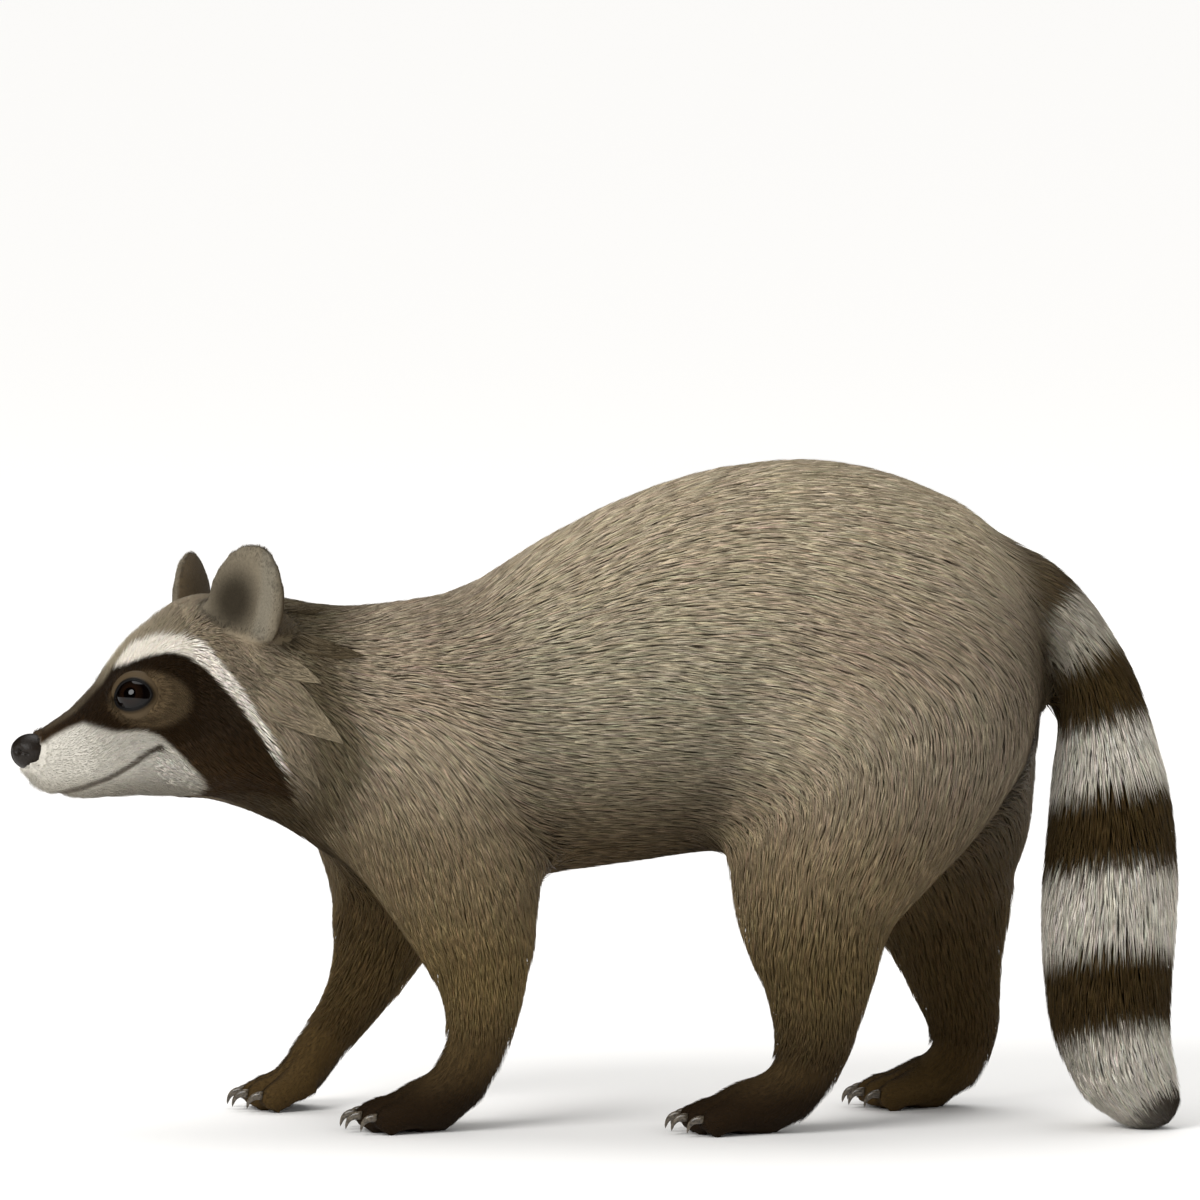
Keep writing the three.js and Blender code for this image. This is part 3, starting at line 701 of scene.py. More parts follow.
def joinedFlesh():
    joined = bmesh.new()
    for name in [n for n in nodes if "claw" not in n]:  # the skin also closes under the eyes and nose
        part = bmesh.new()
        part.from_mesh(nodes[name].data)
        bmesh.ops.remove_doubles(part, verts=part.verts, dist=1e-5)
        part.normal_update()
        for vertex in part.verts:
            vertex.co += vertex.normal * skinMake["overlap"] * metre
        mesh = bpy.data.meshes.new("flesh")
        part.to_mesh(mesh)
        part.free()
        joined.from_mesh(mesh)
        bpy.data.meshes.remove(mesh)
    mesh = bpy.data.meshes.new("flesh")
    joined.to_mesh(mesh)
    joined.free()
    made = placeObject("flesh", mesh)
    wrap = made.modifiers.new("wrap", "REMESH")
    wrap.mode = "VOXEL"
    wrap.voxel_size = skinMake["voxel"] * metre
    wrapped = bpy.data.meshes.new_from_object(made.evaluated_get(bpy.context.evaluated_depsgraph_get()))
    bpy.data.objects.remove(made)
    return wrapped


def meshArrays(mesh):  # points in mm, and the two points of each edge
    points = readArray(mesh.vertices, "co", 3, np.float32).astype(float) / metre
    return points, readArray(mesh.edges, "vertices", 2, np.int32)


def outerShell(mesh):  # drops everything that isn't joined to the highest point
    net = bmesh.new()
    net.from_mesh(mesh)
    top = max(net.verts, key=lambda v: v.co.z)
    kept, waiting = {top}, [top]
    while waiting:
        for edge in waiting.pop().link_edges:
            for vertex in edge.verts:
                if vertex not in kept:
                    kept.add(vertex)
                    waiting.append(vertex)
    bmesh.ops.delete(net, geom=[v for v in net.verts if v not in kept], context="VERTS")
    net.to_mesh(mesh)
    net.free()


def relax(values, edges, weights, steps):  # each step moves a value part of the way to its neighbours' mean
    count = np.bincount(edges.ravel(), minlength=len(values))[:, None].astype(float)
    first, second = edges.T
    for _ in range(steps):
        columns = [
            np.bincount(first, column[second], len(values)) + np.bincount(second, column[first], len(values))
            for column in values.T
        ]
        values = values + weights[:, None] * (np.stack(columns, 1) / count - values)
    return values


def trianglesOf(mesh):
    mesh.calc_loop_triangles()
    return readArray(mesh.loop_triangles, "vertices", 3, np.int32)


def pointNormals(mesh, points):  # moves the mesh to these points first
    mesh.vertices.foreach_set("co", (points * metre).astype(np.float32).ravel())
    mesh.update()
    return readArray(mesh.vertex_normals, "vector", 3, np.float32).astype(float)


def refineFace(mesh):  # twice the points ahead of the ears, where lids, lips and folds are carved
    net = bmesh.new()
    net.from_mesh(mesh)
    place = toHead(np.array([v.co for v in net.verts]) / metre)
    isFace = (place[:, 0] > 50) & (place[:, 2] < 262) & (place[:, 2] > 150)
    net.verts.ensure_lookup_table()
    edges = [e for e in net.edges if isFace[e.verts[0].index] and isFace[e.verts[1].index]]
    bmesh.ops.subdivide_edges(net, edges=edges, cuts=1, use_grid_fill=True)
    net.to_mesh(mesh)
    net.free()


nosePad = {
    "centre": (134.2, 0, 196.4),
    "size": (10.4, 10.4, 9.4),
    "bed": (-0.25, -0.9),  # the skin gives way ahead of and above these shares of its size
    "bedDepth": 0.45,  # of its size, from its centre
    "nostril": (0.8, 0.52, 0.06),  # directions from its centre: ahead, out and up
    "slitEnd": (0.42, 0.9, -0.14),
    "holeDepth": 2.8,
    "slitDepth": 1.5,
    "cleft": 0.8,
}
# How far ahead the chin and lips reach, as z and a
chinLine = [(166, 112), (170.5, 118), (175, 129.6), (183.5, 134.5), (190, 141), (196, 152)]


def carveFace(points, normals):
    place = toHead(points)
    a, z = place[:, 0], place[:, 2]
    fromEye, _ = nearEye(points)
    for centre, axis, _, _ in eyes.values():  # the skin dips under each eyeball
        offset = points - centre
        height = offset @ axis
        across = np.linalg.norm(offset - height[:, None] * axis, axis=1)
        under = np.sqrt(np.maximum(eye["radius"] ** 2 - across**2, 0)) - skinMake["underEye"]
        sink = np.where((height > -4) & (across < 20), np.minimum(under - height, 0), 0)
        points = points + (sink * (1 - smoothStep(fromEye, 1.2, 1.45)))[:, None] * axis
    lip = np.exp(-((fromPath(a, z, mouthPath) / 1.5) ** 2)) * smoothStep(a, 72, 78)
    points = points - normals * (skinMake["lipDepth"] * lip)[:, None]
    place = toHead(points)
    chinHeights, chinFronts = np.array(chinLine).T
    beyond = place[:, 0] - np.interp(place[:, 2], chinHeights, chinFronts)
    place[:, 0] -= 1.5 * np.logaddexp(0, beyond / 1.5)
    offset = place - np.array(nosePad["centre"])
    reach = offset / np.array(nosePad["size"])
    distance = np.linalg.norm(reach, axis=1)
    inBed = (distance < 1.5) & (reach[:, 0] > nosePad["bed"][0]) & (reach[:, 2] > nosePad["bed"][1])
    sunk = np.where(inBed & (distance > nosePad["bedDepth"]), nosePad["bedDepth"] / distance, 1.0)
    return headPoint(place - offset * (1 - sunk)[:, None])


def carveToes(points, normals):  # clefts between the toes
    for name in ("leftFore", "rightFore", "leftHind", "rightHind"):
        ball, tip = lines[name]["at"][-2], lines[name]["at"][-1]
        ahead = (points - ball) @ unit((tip - ball) * np.array([1, 1, 0]))
        across = points[:, 1] - ball[1]
        near = (np.abs(across) < 34) & (ahead > -12) & (ahead < 45) & (points[:, 2] < 30)
        spread = 8.5 * (0.72 + 0.54 * np.clip(ahead / 22, 0, 1))
        fromCleft = np.abs(((across / spread) % 1) - 0.5) * spread
        cleft = np.exp(-((fromCleft / 1.6) ** 2)) * smoothStep(ahead, -4, 8) * near
        cleft *= (np.abs(across) < 2 * spread) * smoothStep(normals[:, 2], -0.5, 0.2)
        points = points - normals * (skinMake["toeCleft"] * cleft)[:, None]
    return points


def depthUnder(surface, points):  # mm inside a closed surface, negative outside it
    found = [surface.find_nearest(p) for p in points.tolist()]
    offset = points - np.array([f[0] for f in found])
    return -np.sign(dot(offset, np.array([f[1] for f in found]))) * np.array([f[3] for f in found])


def buildSkinMesh():
    mesh = joinedFlesh()
    outerShell(mesh)
    points, edges = meshArrays(mesh)
    outline = BVHTree.FromPolygons(points.tolist(), trianglesOf(mesh).tolist())
    body = readBody(points)
    head = toHead(points)
    weights = 0.5 * np.ones(len(points))
    weights *= 1 - 0.8 * weightOf(body, "skull") * smoothStep(head[:, 0], 60, 110)
    weights *= 1 - 0.95 * weightOf(body, "leftEar", "rightEar")
    weights *= 1 - 0.9 * (1 - smoothStep(points[:, 2], 14, 34)) * (points[:, 0] < 215)
    smooth = relax(points, edges, weights, skinMake["smoothing"])
    evenly = np.full(len(points), 0.5)
    points = smooth + relax(points - smooth, edges, evenly, skinMake["givenBack"])
    normals = pointNormals(mesh, points)
    isSole = 1 - smoothStep(points[:, 2], 1.5, 5)
    inward = normals * body["depth"][:, None]
    inward[:, 2] *= 1 - isSole * (body["region"] != lineIndex["tail"])
    points = relax(points - inward, edges, np.minimum(weights, 0.4), 5)
    for _ in range(skinMake["lastPasses"]):
        normals = pointNormals(mesh, points)
        sunk = np.clip(depthUnder(outline, points) - skinMake["overlap"] - body["depth"], 0, 9)
        points = points + normals * relax(sunk[:, None], edges, evenly, 7)
    points = relax(points, edges, np.minimum(weights, 0.4), 2)
    pointNormals(mesh, points)
    refineFace(mesh)
    points, edges = meshArrays(mesh)
    place = toHead(points)
    onFace = smoothStep(place[:, 0], 48, 56) * (place[:, 2] < 264)
    points = relax(points, edges, 0.45 * onFace, 4)
    normals = pointNormals(mesh, points)
    points = carveToes(carveFace(points, normals), normals)
    low = (points[:, 2] < skinMake["sole"]) & (points[:, 0] < 225)
    points[low, 2] = 0.02
    pointNormals(mesh, points)
    print("skin:", len(mesh.vertices), "points")
    return mesh, outline


gapHair = {  # closes the narrow gap between rump and tail, in mm
    "behind": 195,
    "beside": 45,
    "above": (158, 190),  # from none to all of it
    "narrow": (3.5, 8),  # a gap this wide is closed, and one this wide is left
}


def roomForCoat(mesh, points, normals, depth, outline):  # mm from the skin out to the surface of the solids
    room = depth.copy()
    for k, (point, normal) in enumerate(zip(points.tolist(), normals.tolist())):
        distance = outline.ray_cast(point, normal, 25)[3]
        if distance is not None:
            room[k] = distance - skinMake["overlap"]
    room = np.clip(room, 0.5 * depth, 1.9 * depth + 1)
    onRump = (weightOf(readBody(points), "tail") < 0.5) & (points[:, 0] > gapHair["behind"])
    onRump &= (points[:, 2] > gapHair["above"][0]) & (np.abs(points[:, 1]) < gapHair["beside"])
    for k in np.flatnonzero(onRump):
        start = Vector(points[k] + normals[k] * (room[k] + 1.5))
        distance = outline.ray_cast(start, Vector(normals[k]), 12)[3]
        if distance is not None:
            narrow = 1 - smoothStep(np.float64(distance), *gapHair["narrow"])
            room[k] += distance * narrow * smoothStep(points[k, 2], *gapHair["above"])
    _, edges = meshArrays(mesh)
    return relax(room[:, None], edges, np.full(len(room), 0.5), 6)[:, 0]


# Eyelids: a closed ring round each eye, from inside the ball's surface over the rim and out under the coat

lid = {
    "section": [  # degrees beyond the rim, mm above the ball
        (-2, -0.9), (-1, -0.1), (0, 0.35), (1.6, 0.6), (4, 0.75), (8, 0.85), (12, 0.75), (14, 0.65),
        (17, 1.2), (22, 2.1), (28, 2.9), (35, 2.6), (36, 0.5), (28, -2.2), (14, -2.4), (2, -2.0),
    ],
    "around": 96,
    "corner": 0.8,  # mm that the inner corner reaches further
    "shade": 0.62,  # of the hue round the eye
}


def lidRing(hand):
    centre, axis, forward, upward = eyes["left" if hand > 0 else "right"]
    around = lid["around"]
    angles = np.arange(around) * 2 * math.pi / around
    wide, high = eye["halfOpening"]
    x = wide * np.cos(angles)
    y = high * np.sign(np.sin(angles)) * np.abs(np.sin(angles)) ** 1.12
    for corner in (0, 2 * math.pi):
        x = x + lid["corner"] * np.exp(-((angles - corner) ** 2) / 0.03)
    y = y - 0.9 * np.exp(-((x - wide) / 3) ** 2)
    rim = np.arcsin(np.clip(np.hypot(x, y) / eye["radius"], 0, 0.97))
    turn = np.arctan2(y, x)
    rings = []
    for beyond, above in lid["section"]:
        theta = rim + math.radians(beyond)
        away = eye["radius"] + above
        outward = np.cos(turn)[:, None] * forward + np.sin(turn)[:, None] * upward
        rings.append(centre + away * (np.sin(theta)[:, None] * outward + np.cos(theta)[:, None] * axis))
    faces = gridFaces(len(rings), around, closeRows=True)
    if hand < 0:
        faces = faces[:, ::-1]
    outer = lid["shade"] * hues["eyeRing"]
    tints = [mix(hues["lidRim"], outer, float(smoothStep(beyond, 3, 13))) for beyond, _ in lid["section"]]
    return np.concatenate(rings), faces, np.repeat(tints, around, axis=0)


# Materials of the flesh and coat: each reads its colour from the points. Grain and relief are in mm.

# Guard hair: keratin with a dull gloss. The eye sees grizzled brown with fine light and dark streaks.
guardHair = {
    "grain": 0.9, "detail": 2.0, "crisp": 0.5, "levels": (0.88, 1.12), "roughness": 0.55, "specular": 0.16,
}
# Skin with its shortest underfur: matt, with a felted grain under the tufts
furredSkin = {
    "grain": 1.3, "detail": 5.0, "crisp": 0.7, "levels": (0.82, 1.14), "roughness": 0.8, "specular": 0.1,
    "relief": 0.6, "strength": 0.5,
}
# Bare lid skin: dark, a little moist, finely wrinkled
lidSkin = {
    "grain": 0.8, "detail": 3.0, "crisp": 0.5, "roughness": 0.55, "specular": 0.12,
    "relief": 0.2, "strength": 0.35,
}


def tintedMaterial(name, look):
    material, tree = newMaterial(name)
    tint = addNode(tree, "Attribute", {"attribute_name": "coatColour"})
    place = addNode(tree, "TexCoord")
    grain = addNode(
        tree, "TexNoise",
        {"Scale": 1 / (look["grain"] * metre), "Detail": look["detail"], "Roughness": look["crisp"]},
        {"Vector": place.outputs["Object"]},
    )
    links = {"Base Color": tint.outputs["Color"]}
    if "levels" in look:  # how much darker and lighter the grain makes the colour
        low, high = look["levels"]
        level = addNode(
            tree, "MapRange", {"From Min": 0.3, "From Max": 0.7, "To Min": low, "To Max": high},
            {"Value": grain.outputs["Fac"]},
        )
        uneven = addNode(
            tree, "VectorMath", {"operation": "SCALE"},
            {0: tint.outputs["Color"], "Scale": level.outputs["Result"]},
        )
        links["Base Color"] = uneven.outputs["Vector"]
    if "relief" in look:
        relief = addNode(
            tree, "Bump", {"Strength": look["strength"], "Distance": look["relief"] * metre},
            {"Height": grain.outputs["Fac"]},
        )
        links["Normal"] = relief.outputs["Normal"]
    shader = addNode(
        tree, "BsdfPrincipled",
        {"Roughness": look["roughness"], "Specular IOR Level": look["specular"]}, links,
    )
    finishMaterial(tree, shader)
    return material


skinMesh, solidOutline = buildSkinMesh()
skinPoints, _ = meshArrays(skinMesh)
skinTriangles = trianglesOf(skinMesh)
skinNormals = pointNormals(skinMesh, skinPoints)
skinTree = BVHTree.FromPolygons(skinPoints.tolist(), skinTriangles.tolist())
skinBody = readBody(skinPoints)
skinBody["room"] = roomForCoat(skinMesh, skinPoints, skinNormals, skinBody["depth"], solidOutline)


def underShade(length):  # how dark the coat is at its roots: long hair shades them more
    return 0.97 - 0.13 * smoothStep(length, 4, 18)


def makeSkin():
    sizes = [readArray(skinMesh.polygons, "loop_total", 1, np.int32).ravel()]
    corners = [readArray(skinMesh.loops, "vertex_index", 1, np.int32).ravel()]
    points, tints = [skinPoints], [markings(skinPoints, skinNormals, skinBody)]
    tints[0] *= underShade(skinBody["length"])[:, None]
    count = len(skinPoints)
    for hand in (1, -1):
        ring, faces, tint = lidRing(hand)
        corners.append((faces + count).ravel())
        sizes.append(np.full(len(faces), 4))
        points.append(ring)
        tints.append(tint)
        count += len(ring)
    sizes = np.concatenate(sizes)
    starts = np.concatenate([[0], np.cumsum(sizes)[:-1]])
    skins = [tintedMaterial("furred skin", furredSkin), tintedMaterial("bare lid skin", lidSkin)]
    made = makeObject("skin", np.concatenate(points), np.concatenate(corners), starts, skins)
    slots = np.zeros(len(sizes), np.int32)
    slots[len(skinMesh.polygons):] = 1
    made.data.polygons.foreach_set("material_index", slots)
    setColours(made.data, "coatColour", np.concatenate(tints))
    return made


skin = makeSkin()
print("skin made:", len(skinTriangles), "triangles")


# The coat

coat = {
    "mostDense": 2.0,  # tufts for each square mm
    "width": (0.3, 0.022),  # mm, and mm more for each mm of length
    "thickness": 0.42,  # of the width
    "sunk": 0.5,  # mm that a root lies under the skin
    "lengths": (0.75, 1.12),  # spread between tufts, as shares
    "heights": (0.84, 1.03),
    "widths": (0.75, 1.25),
    "twist": 0.35,  # spread of a tuft's turn about its own length
    "stray": 0.07,  # how far a tuft turns aside from the lie
    "wave": (0.13, 60),  # how far slow waves turn it, and mm from wave to wave
    "droop": 0.3,  # how far the hair of the sides hangs
    "cheekDroop": 0.95,
    "fromEye": 0.55,  # how far the hair turns out round the eye
    "clump": 6,  # mm between locks
    "grizzle": 0.065,  # spread of lightness between tufts
    "warmth": 0.03,  # spread of each colour between tufts
    "darkTips": (0.16, -0.22),  # share of the tufts, and how much darker
    "paleTips": (0.2, 0.14),
    "patch": 0.003,  # of the unwrap, for each tuft
}
locks = {
    "rows": [  # behind cheek and ear, on the left side: root, tip and half width in mm, and hue at the tip
        ((-162, -18, 266), (-138, -16, 268), 6, "nape"),
        ((-148, -46, 260), (-120, -50, 249), 8, "nape"),
        ((-166, -52, 245), (-141, -52, 231.4), 8.5, "ruffTip"),
        ((-160, -58, 224), (-129, -64, 202.5), 13, "ruffTip"),
        ((-156, -58, 200), (-139.5, -57, 179), 5.5, "ruffLow"),
    ],
    "dense": 1.5,  # tufts for each square mm of a lock
    "start": 0.62,  # of its length, where its last hair begins
    "run": (0.36, 0.52),  # of its length, for each hair
    "lift": 2.4,  # mm that its tip stands over the coat
}
# How far along each ring of a tuft is, and its width there. The tip closes it.
tuftShapes = {
    "spike": [(0.0, 0.8)],
    "bent": [(0.0, 0.8), (0.5, 1.0)],
    "long": [(0.0, 0.7), (0.36, 1.0), (0.72, 0.72)],
}


def swirl(points, size):  # slow waves that turn the lie a little here and there
    waves = np.zeros(len(points))
    for k in range(5):
        heading = unit(dice.normal(size=3)) * (2 * math.pi / size) * (0.6 + 0.25 * k)
        waves += np.sin(points @ heading + k * 1.7)
    return waves / 5


def lieOfCoat(points, normals, body):
    lie = body["lie"].copy()
    lie[:, 2] -= coat["droop"] * weightOf(body, "trunk") * np.abs(normals[:, 1])
    a, side, z = toHead(points).T
    downwards = weightOf(body, "skull", "leftCheek", "rightCheek") * smoothStep(np.abs(side), 20, 42)
    downwards *= (1 - smoothStep(a, 66, 92)) * (1 - smoothStep(z, 244, 262))
    lie += coat["cheekDroop"] * downwards[:, None] * headDirection((0, 0, -1))
    fromEye, outward = nearEye(points)
    lie = mix(lie, outward, coat["fromEye"] * (1 - smoothStep(fromEye, 1.4, 2.2)))
    for hand in (1, -1):  # hair on the ear's edge turns outwards with it
        upward, _ = earAxes(hand)
        onEar = weightOf(body, "leftEar" if hand > 0 else "rightEar")
        offset = points - earFoot(hand)
        lie += (0.25 * onEar)[:, None] * unit(offset - (offset @ upward)[:, None] * upward)
    lie = unit(lie - dot(lie, normals)[:, None] * normals)
    far, size = coat["wave"]
    turn = coat["stray"] * dice.normal(size=len(points)) + far * swirl(points, size)
    return lie * np.cos(turn)[:, None] + np.cross(normals, lie) * np.sin(turn)[:, None]


def offNose(points):  # 1 on the nose pad's surface
    offset = toHead(points) - np.array(nosePad["centre"])
    return np.linalg.norm(offset / np.array(nosePad["size"]), axis=1)


def bareSkin(points, normals, body):  # where no hair grows
    fromEye, _ = nearEye(points)
    onNose = offNose(points) < 1.03
    isHead = weightOf(body, "skull", "leftCheek", "rightCheek") > 0.5
    onSole = (normals[:, 2] < -0.6) & (points[:, 2] < 5)
    return (isHead & ((fromEye < 1.3) | onNose)) | onSole


def followSkin(starts, normals, lies, shares, lengths):  # steps along the skin, staying on its surface
    at, lie = starts.copy(), lies.copy()
    places, facings = [], []
    before = 0.0
    for share in shares:
        aim = at + lie * ((share - before) * lengths)[:, None]
        found = [skinTree.find_nearest(p) for p in aim.tolist()]
        at = np.array([f[0] for f in found])
        facing = np.array([f[1] for f in found])
        facing = unit(mix(facing, normals, np.full(len(facing), 0.3)))
        lie = unit(lie - dot(lie, facing)[:, None] * facing)
        places.append(at)
        facings.append(facing)
        before = share
    return places, facings


def gatherTips(roots, shape, pull):  # draws the tips of neighbouring tufts together
    cells = np.floor(roots / coat["clump"]).astype(int)
    _, leaders = np.unique(cells, axis=0, return_index=True)
    tree = KDTree(len(leaders))
    for k, leader in enumerate(leaders):
        tree.insert(roots[leader], k)
    tree.balance()
    mine = leaders[np.array([tree.find(p)[1] for p in roots.tolist()])]
    for k in range(1, shape.shape[1]):
        amount = pull * (k / (shape.shape[1] - 1)) ** 1.6
        shape[:, k] += amount * (shape[mine, k] - shape[:, k])
    return shape


def tuftLines(roots, normals, lies, lengths, heights, kind):
    shares = [share for share, _ in tuftShapes[kind]][1:] + [1.0]
    rise = [1 - (1 - s) ** 1.9 for s in shares]
    start = roots - normals * coat["sunk"]
    if kind == "spike":
        tip = roots + lies * lengths[:, None] + normals * heights[:, None]
        return np.stack([start, tip], 1)
    places, facings = followSkin(roots, normals, lies, shares, lengths)
    lifted = [p + f * (heights * r)[:, None] for p, f, r in zip(places, facings, rise)]
    return np.stack([start] + lifted, 1)


def tuftMesh(shape, normals, widths, kind):
    profile = tuftShapes[kind]
    count, rings = len(shape), len(profile)
    twist = dice.normal(0, coat["twist"], count)
    points = np.empty((count, rings * 3 + 1, 3))
    for k, (_, share) in enumerate(profile):
        ahead = unit(shape[:, k + 1] - shape[:, max(k - 1, 0)])
        across = unit(np.cross(normals, ahead))
        outward = np.cross(ahead, across)
        turned = across * np.cos(twist)[:, None] + outward * np.sin(twist)[:, None]
        raised = outward * np.cos(twist)[:, None] - across * np.sin(twist)[:, None]
        half = (widths * share / 2)[:, None]
        points[:, 3 * k] = shape[:, k] - turned * half
        points[:, 3 * k + 1] = shape[:, k] + turned * half
        points[:, 3 * k + 2] = shape[:, k] + raised * half * 2 * coat["thickness"]
    points[:, -1] = shape[:, -1]
    return points, *tuftFaces(rings)


# Faces of one tuft, and where their corners lie on its patch of the unwrap, from 0 to 1
def tuftFaces(rings):
    faces, patches = [], []
    for k in range(rings - 1):
        for j in range(3):
            n = (j + 1) % 3
            faces.append([3 * k + j, 3 * k + n, 3 * k + 3 + n, 3 * k + 3 + j])
            low, high = (k + 0.6) / (rings + 0.6), (k + 1.6) / (rings + 0.6)
            patches += [(j / 3, low), ((j + 1) / 3, low), ((j + 1) / 3, high), (j / 3, high)]
    last = 3 * (rings - 1)
    low = (rings - 0.4) / (rings + 0.6)
    for j in range(3):
        faces.append([last + j, last + (j + 1) % 3, 3 * rings])
        patches += [(j / 3, low), ((j + 1) / 3, low), ((j + 0.5) / 3, 1)]
    faces.append([0, 2, 1])
    patches += [(0, 0), (0.5, 0.5 / (rings + 0.6)), (1, 0)]
    return faces, np.array(patches)


def unwrapPlace(body, normals, region, low, high):  # a root's place round and along its form, from 0 to 1
    axis, away = body["axis"], body["away"]
    across = unit(np.cross(axis, np.array([0.0, 1.0, 0.0])))
    upward = np.cross(axis, across)
    isEar = (region == lineIndex["leftEar"]) | (region == lineIndex["rightEar"])
    outward = np.where(isEar[:, None], normals, away)
    around = np.arctan2(dot(outward, across), dot(outward, upward)) / (2 * math.pi) + 0.5
    along = np.clip((body["along"] - low) / (high - low), 0, 1)
    return around, along


def named(*names):
    return np.isin(skinBody["region"], [lineIndex[name] for name in names])


legReach = {"leftFore": 125, "rightFore": 135, "leftHind": 175, "rightHind": 180}  # mm to the ankle


def onLegs(low, high):  # skin of the legs between these shares of the way to the ankle
    found = np.zeros(len(skinPoints), bool)
    for name, reach in legReach.items():
        found |= named(name) & (skinBody["along"] > low * reach) & (skinBody["along"] < high * reach)
    return found


skinX, headA = skinPoints[:, 0], toHead(skinPoints)[:, 0]
isFoot, isUpperLeg = onLegs(1, 9), onLegs(-1, 0.5)
isLeg, isFore = named(*legReach), named("leftFore", "rightFore")
isSkull, isTrunk = named("skull"), named("trunk")

# Each piece of the coat: where it grows, the kind of tuft, its slot, how many tufts lie over each spot,
# how far tips draw together into locks, and how far along a tuft its colour is read
coatPieces = {
    "coat_face": (isSkull & (headA > 58), "spike", "face_fur", 2.6, 0, 0.4),
    "coat_crown": (isSkull & (headA <= 58), "bent", "face_fur", 3.2, 0.1, 0.3),
    "coat_ruff": (named("leftCheek", "rightCheek"), "bent", "face_fur", 4, 0.08, 0.2),
    "coat_ears": (named("leftEar", "rightEar"), "spike", "ear_fur", 1.3, 0, 0.3),
    "coat_neck": (isTrunk & (skinX < -90), "bent", "back_fur", 3.9, 0.07, 0.5),
    "coat_chest": (isTrunk & (skinX >= -90) & (skinX < 20), "bent", "back_fur", 3.55, 0.07, 0.5),
    "coat_loin": (isTrunk & (skinX >= 20) & (skinX < 100), "bent", "back_fur", 3.55, 0.07, 0.5),
    "coat_rump": (isTrunk & (skinX >= 100), "bent", "back_fur", 3.7, 0.07, 0.5),
    "coat_shoulders": (isUpperLeg & isFore, "bent", "back_fur", 3.6, 0.07, 0.5),
    "coat_haunches": (isUpperLeg & ~isFore, "bent", "back_fur", 3.55, 0.07, 0.5),
    "coat_lower_legs": (isLeg & ~isUpperLeg & ~isFoot, "bent", "leg_fur", 1.7, 0.06, 0.5),
    "coat_feet": (isFoot, "spike", "foot_fur", 1.1, 0, 0.5),
    "coat_tail": (named("tail"), "bent", "tail_fur", 4.1, 0.12, 0.45),
}


def scatter(grows, cover):  # roots spread over the triangles whose first corner grows this piece
    chosen = skinTriangles[grows[skinTriangles[:, 0]]]
    corner = skinPoints[chosen]
    area = 0.5 * np.linalg.norm(np.cross(corner[:, 1] - corner[:, 0], corner[:, 2] - corner[:, 0]), axis=1)
    length = skinBody["length"][chosen].mean(1)
    width = coat["width"][0] + coat["width"][1] * length
    share = np.cumsum(area * np.minimum(coat["mostDense"], cover / (0.55 * length * width)))
    count = int(share[-1])
    pick = np.searchsorted(share, (np.arange(count) + dice.random(count)) * share[-1] / count)
    chosen = chosen[np.minimum(pick, len(chosen) - 1)]
    u, v = dice.random(count), dice.random(count)
    flip = u + v > 1
    u[flip], v[flip] = 1 - u[flip], 1 - v[flip]
    weights = np.stack([1 - u - v, u, v], 1)
    points = np.einsum("nk,nki->ni", weights, skinPoints[chosen])
    normals = unit(np.einsum("nk,nki->ni", weights, skinNormals[chosen]))
    return points, normals, np.einsum("nk,nk->n", weights, skinBody["room"][chosen])


def pointAlong(shape, share):
    steps = shape.shape[1] - 1
    k = min(int(share * steps), steps - 1)
    return mix(shape[:, k], shape[:, k + 1], np.full(len(shape), share * steps - k))


def coatColours(points, normals):  # the markings, a little different for each tuft
    base = markings(points, normals, readBody(points))
    warmth = 1 + coat["warmth"] * dice.normal(size=base.shape)
    return base * warmth * np.exp(coat["grizzle"] * dice.normal(size=len(base)))[:, None]


def tuftTints(base, kind, shade):  # darker at the root, and here and there a darker or paler tip
    bright = base.mean(1)
    isGrizzled = smoothStep(bright, 0.04, 0.12) * (1 - smoothStep(bright, 0.4, 0.55))
    roll = dice.random(len(base))
    (darkShare, darker), (paleShare, paler) = coat["darkTips"], coat["paleTips"]
    tipShare = isGrizzled * np.where(roll < darkShare, darker, np.where(roll > 1 - paleShare, paler, 0.0))
    levels = [share for share, _ in tuftShapes[kind]] + [1.0]
    colours = []
    for level in levels:
        shaded = shade + (1 - shade) * min(level / 0.35, 1)
        tip = 1 + tipShare * smoothStep(np.float64(level), 0.45, 1.0)
        colours.append(base * (shaded * tip)[:, None])
    return np.repeat(np.stack(colours, 1), [3] * (len(levels) - 1) + [1], axis=1)


def pieceOfTufts(name, shape, normals, lengths, kind, base, body):
    count = len(shape)
    widths = (coat["width"][0] + coat["width"][1] * lengths) * dice.uniform(*coat["widths"], count)
    points, faces, patches = tuftMesh(shape, normals, widths, kind)
    points[..., 2] = np.maximum(points[..., 2], 0.15)
    tints = tuftTints(base, kind, underShade(body["length"]))
    corners, starts = flatten(faces)
    order = np.arange(count)[:, None]
    made = makeObject(
        name, points.reshape(-1, 3), (corners + order * points.shape[1]).ravel(),
        (starts + order * len(corners)).ravel(), [hairMaterial],
    )
    setColours(made.data, "coatColour", tints.reshape(-1, 3))
    around, along = unwrapPlace(body, normals, body["region"], body["along"].min(), body["along"].max())
    sides = np.unique(body["region"])
    column = np.searchsorted(sides, body["region"])
    place = np.stack([(column + 0.02 + 0.95 * around) / len(sides), 0.01 + 0.975 * along], -1)
    uv = place[:, None, :] + coat["patch"] * patches
    made.data.uv_layers.new(name="OFBake").data.foreach_set("uv", uv.astype(np.float32).ravel())
    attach(made, "root")
    triangles = count * sum(len(f) - 2 for f in faces)
    print(name, count, "tufts", triangles, "triangles")
    return triangles


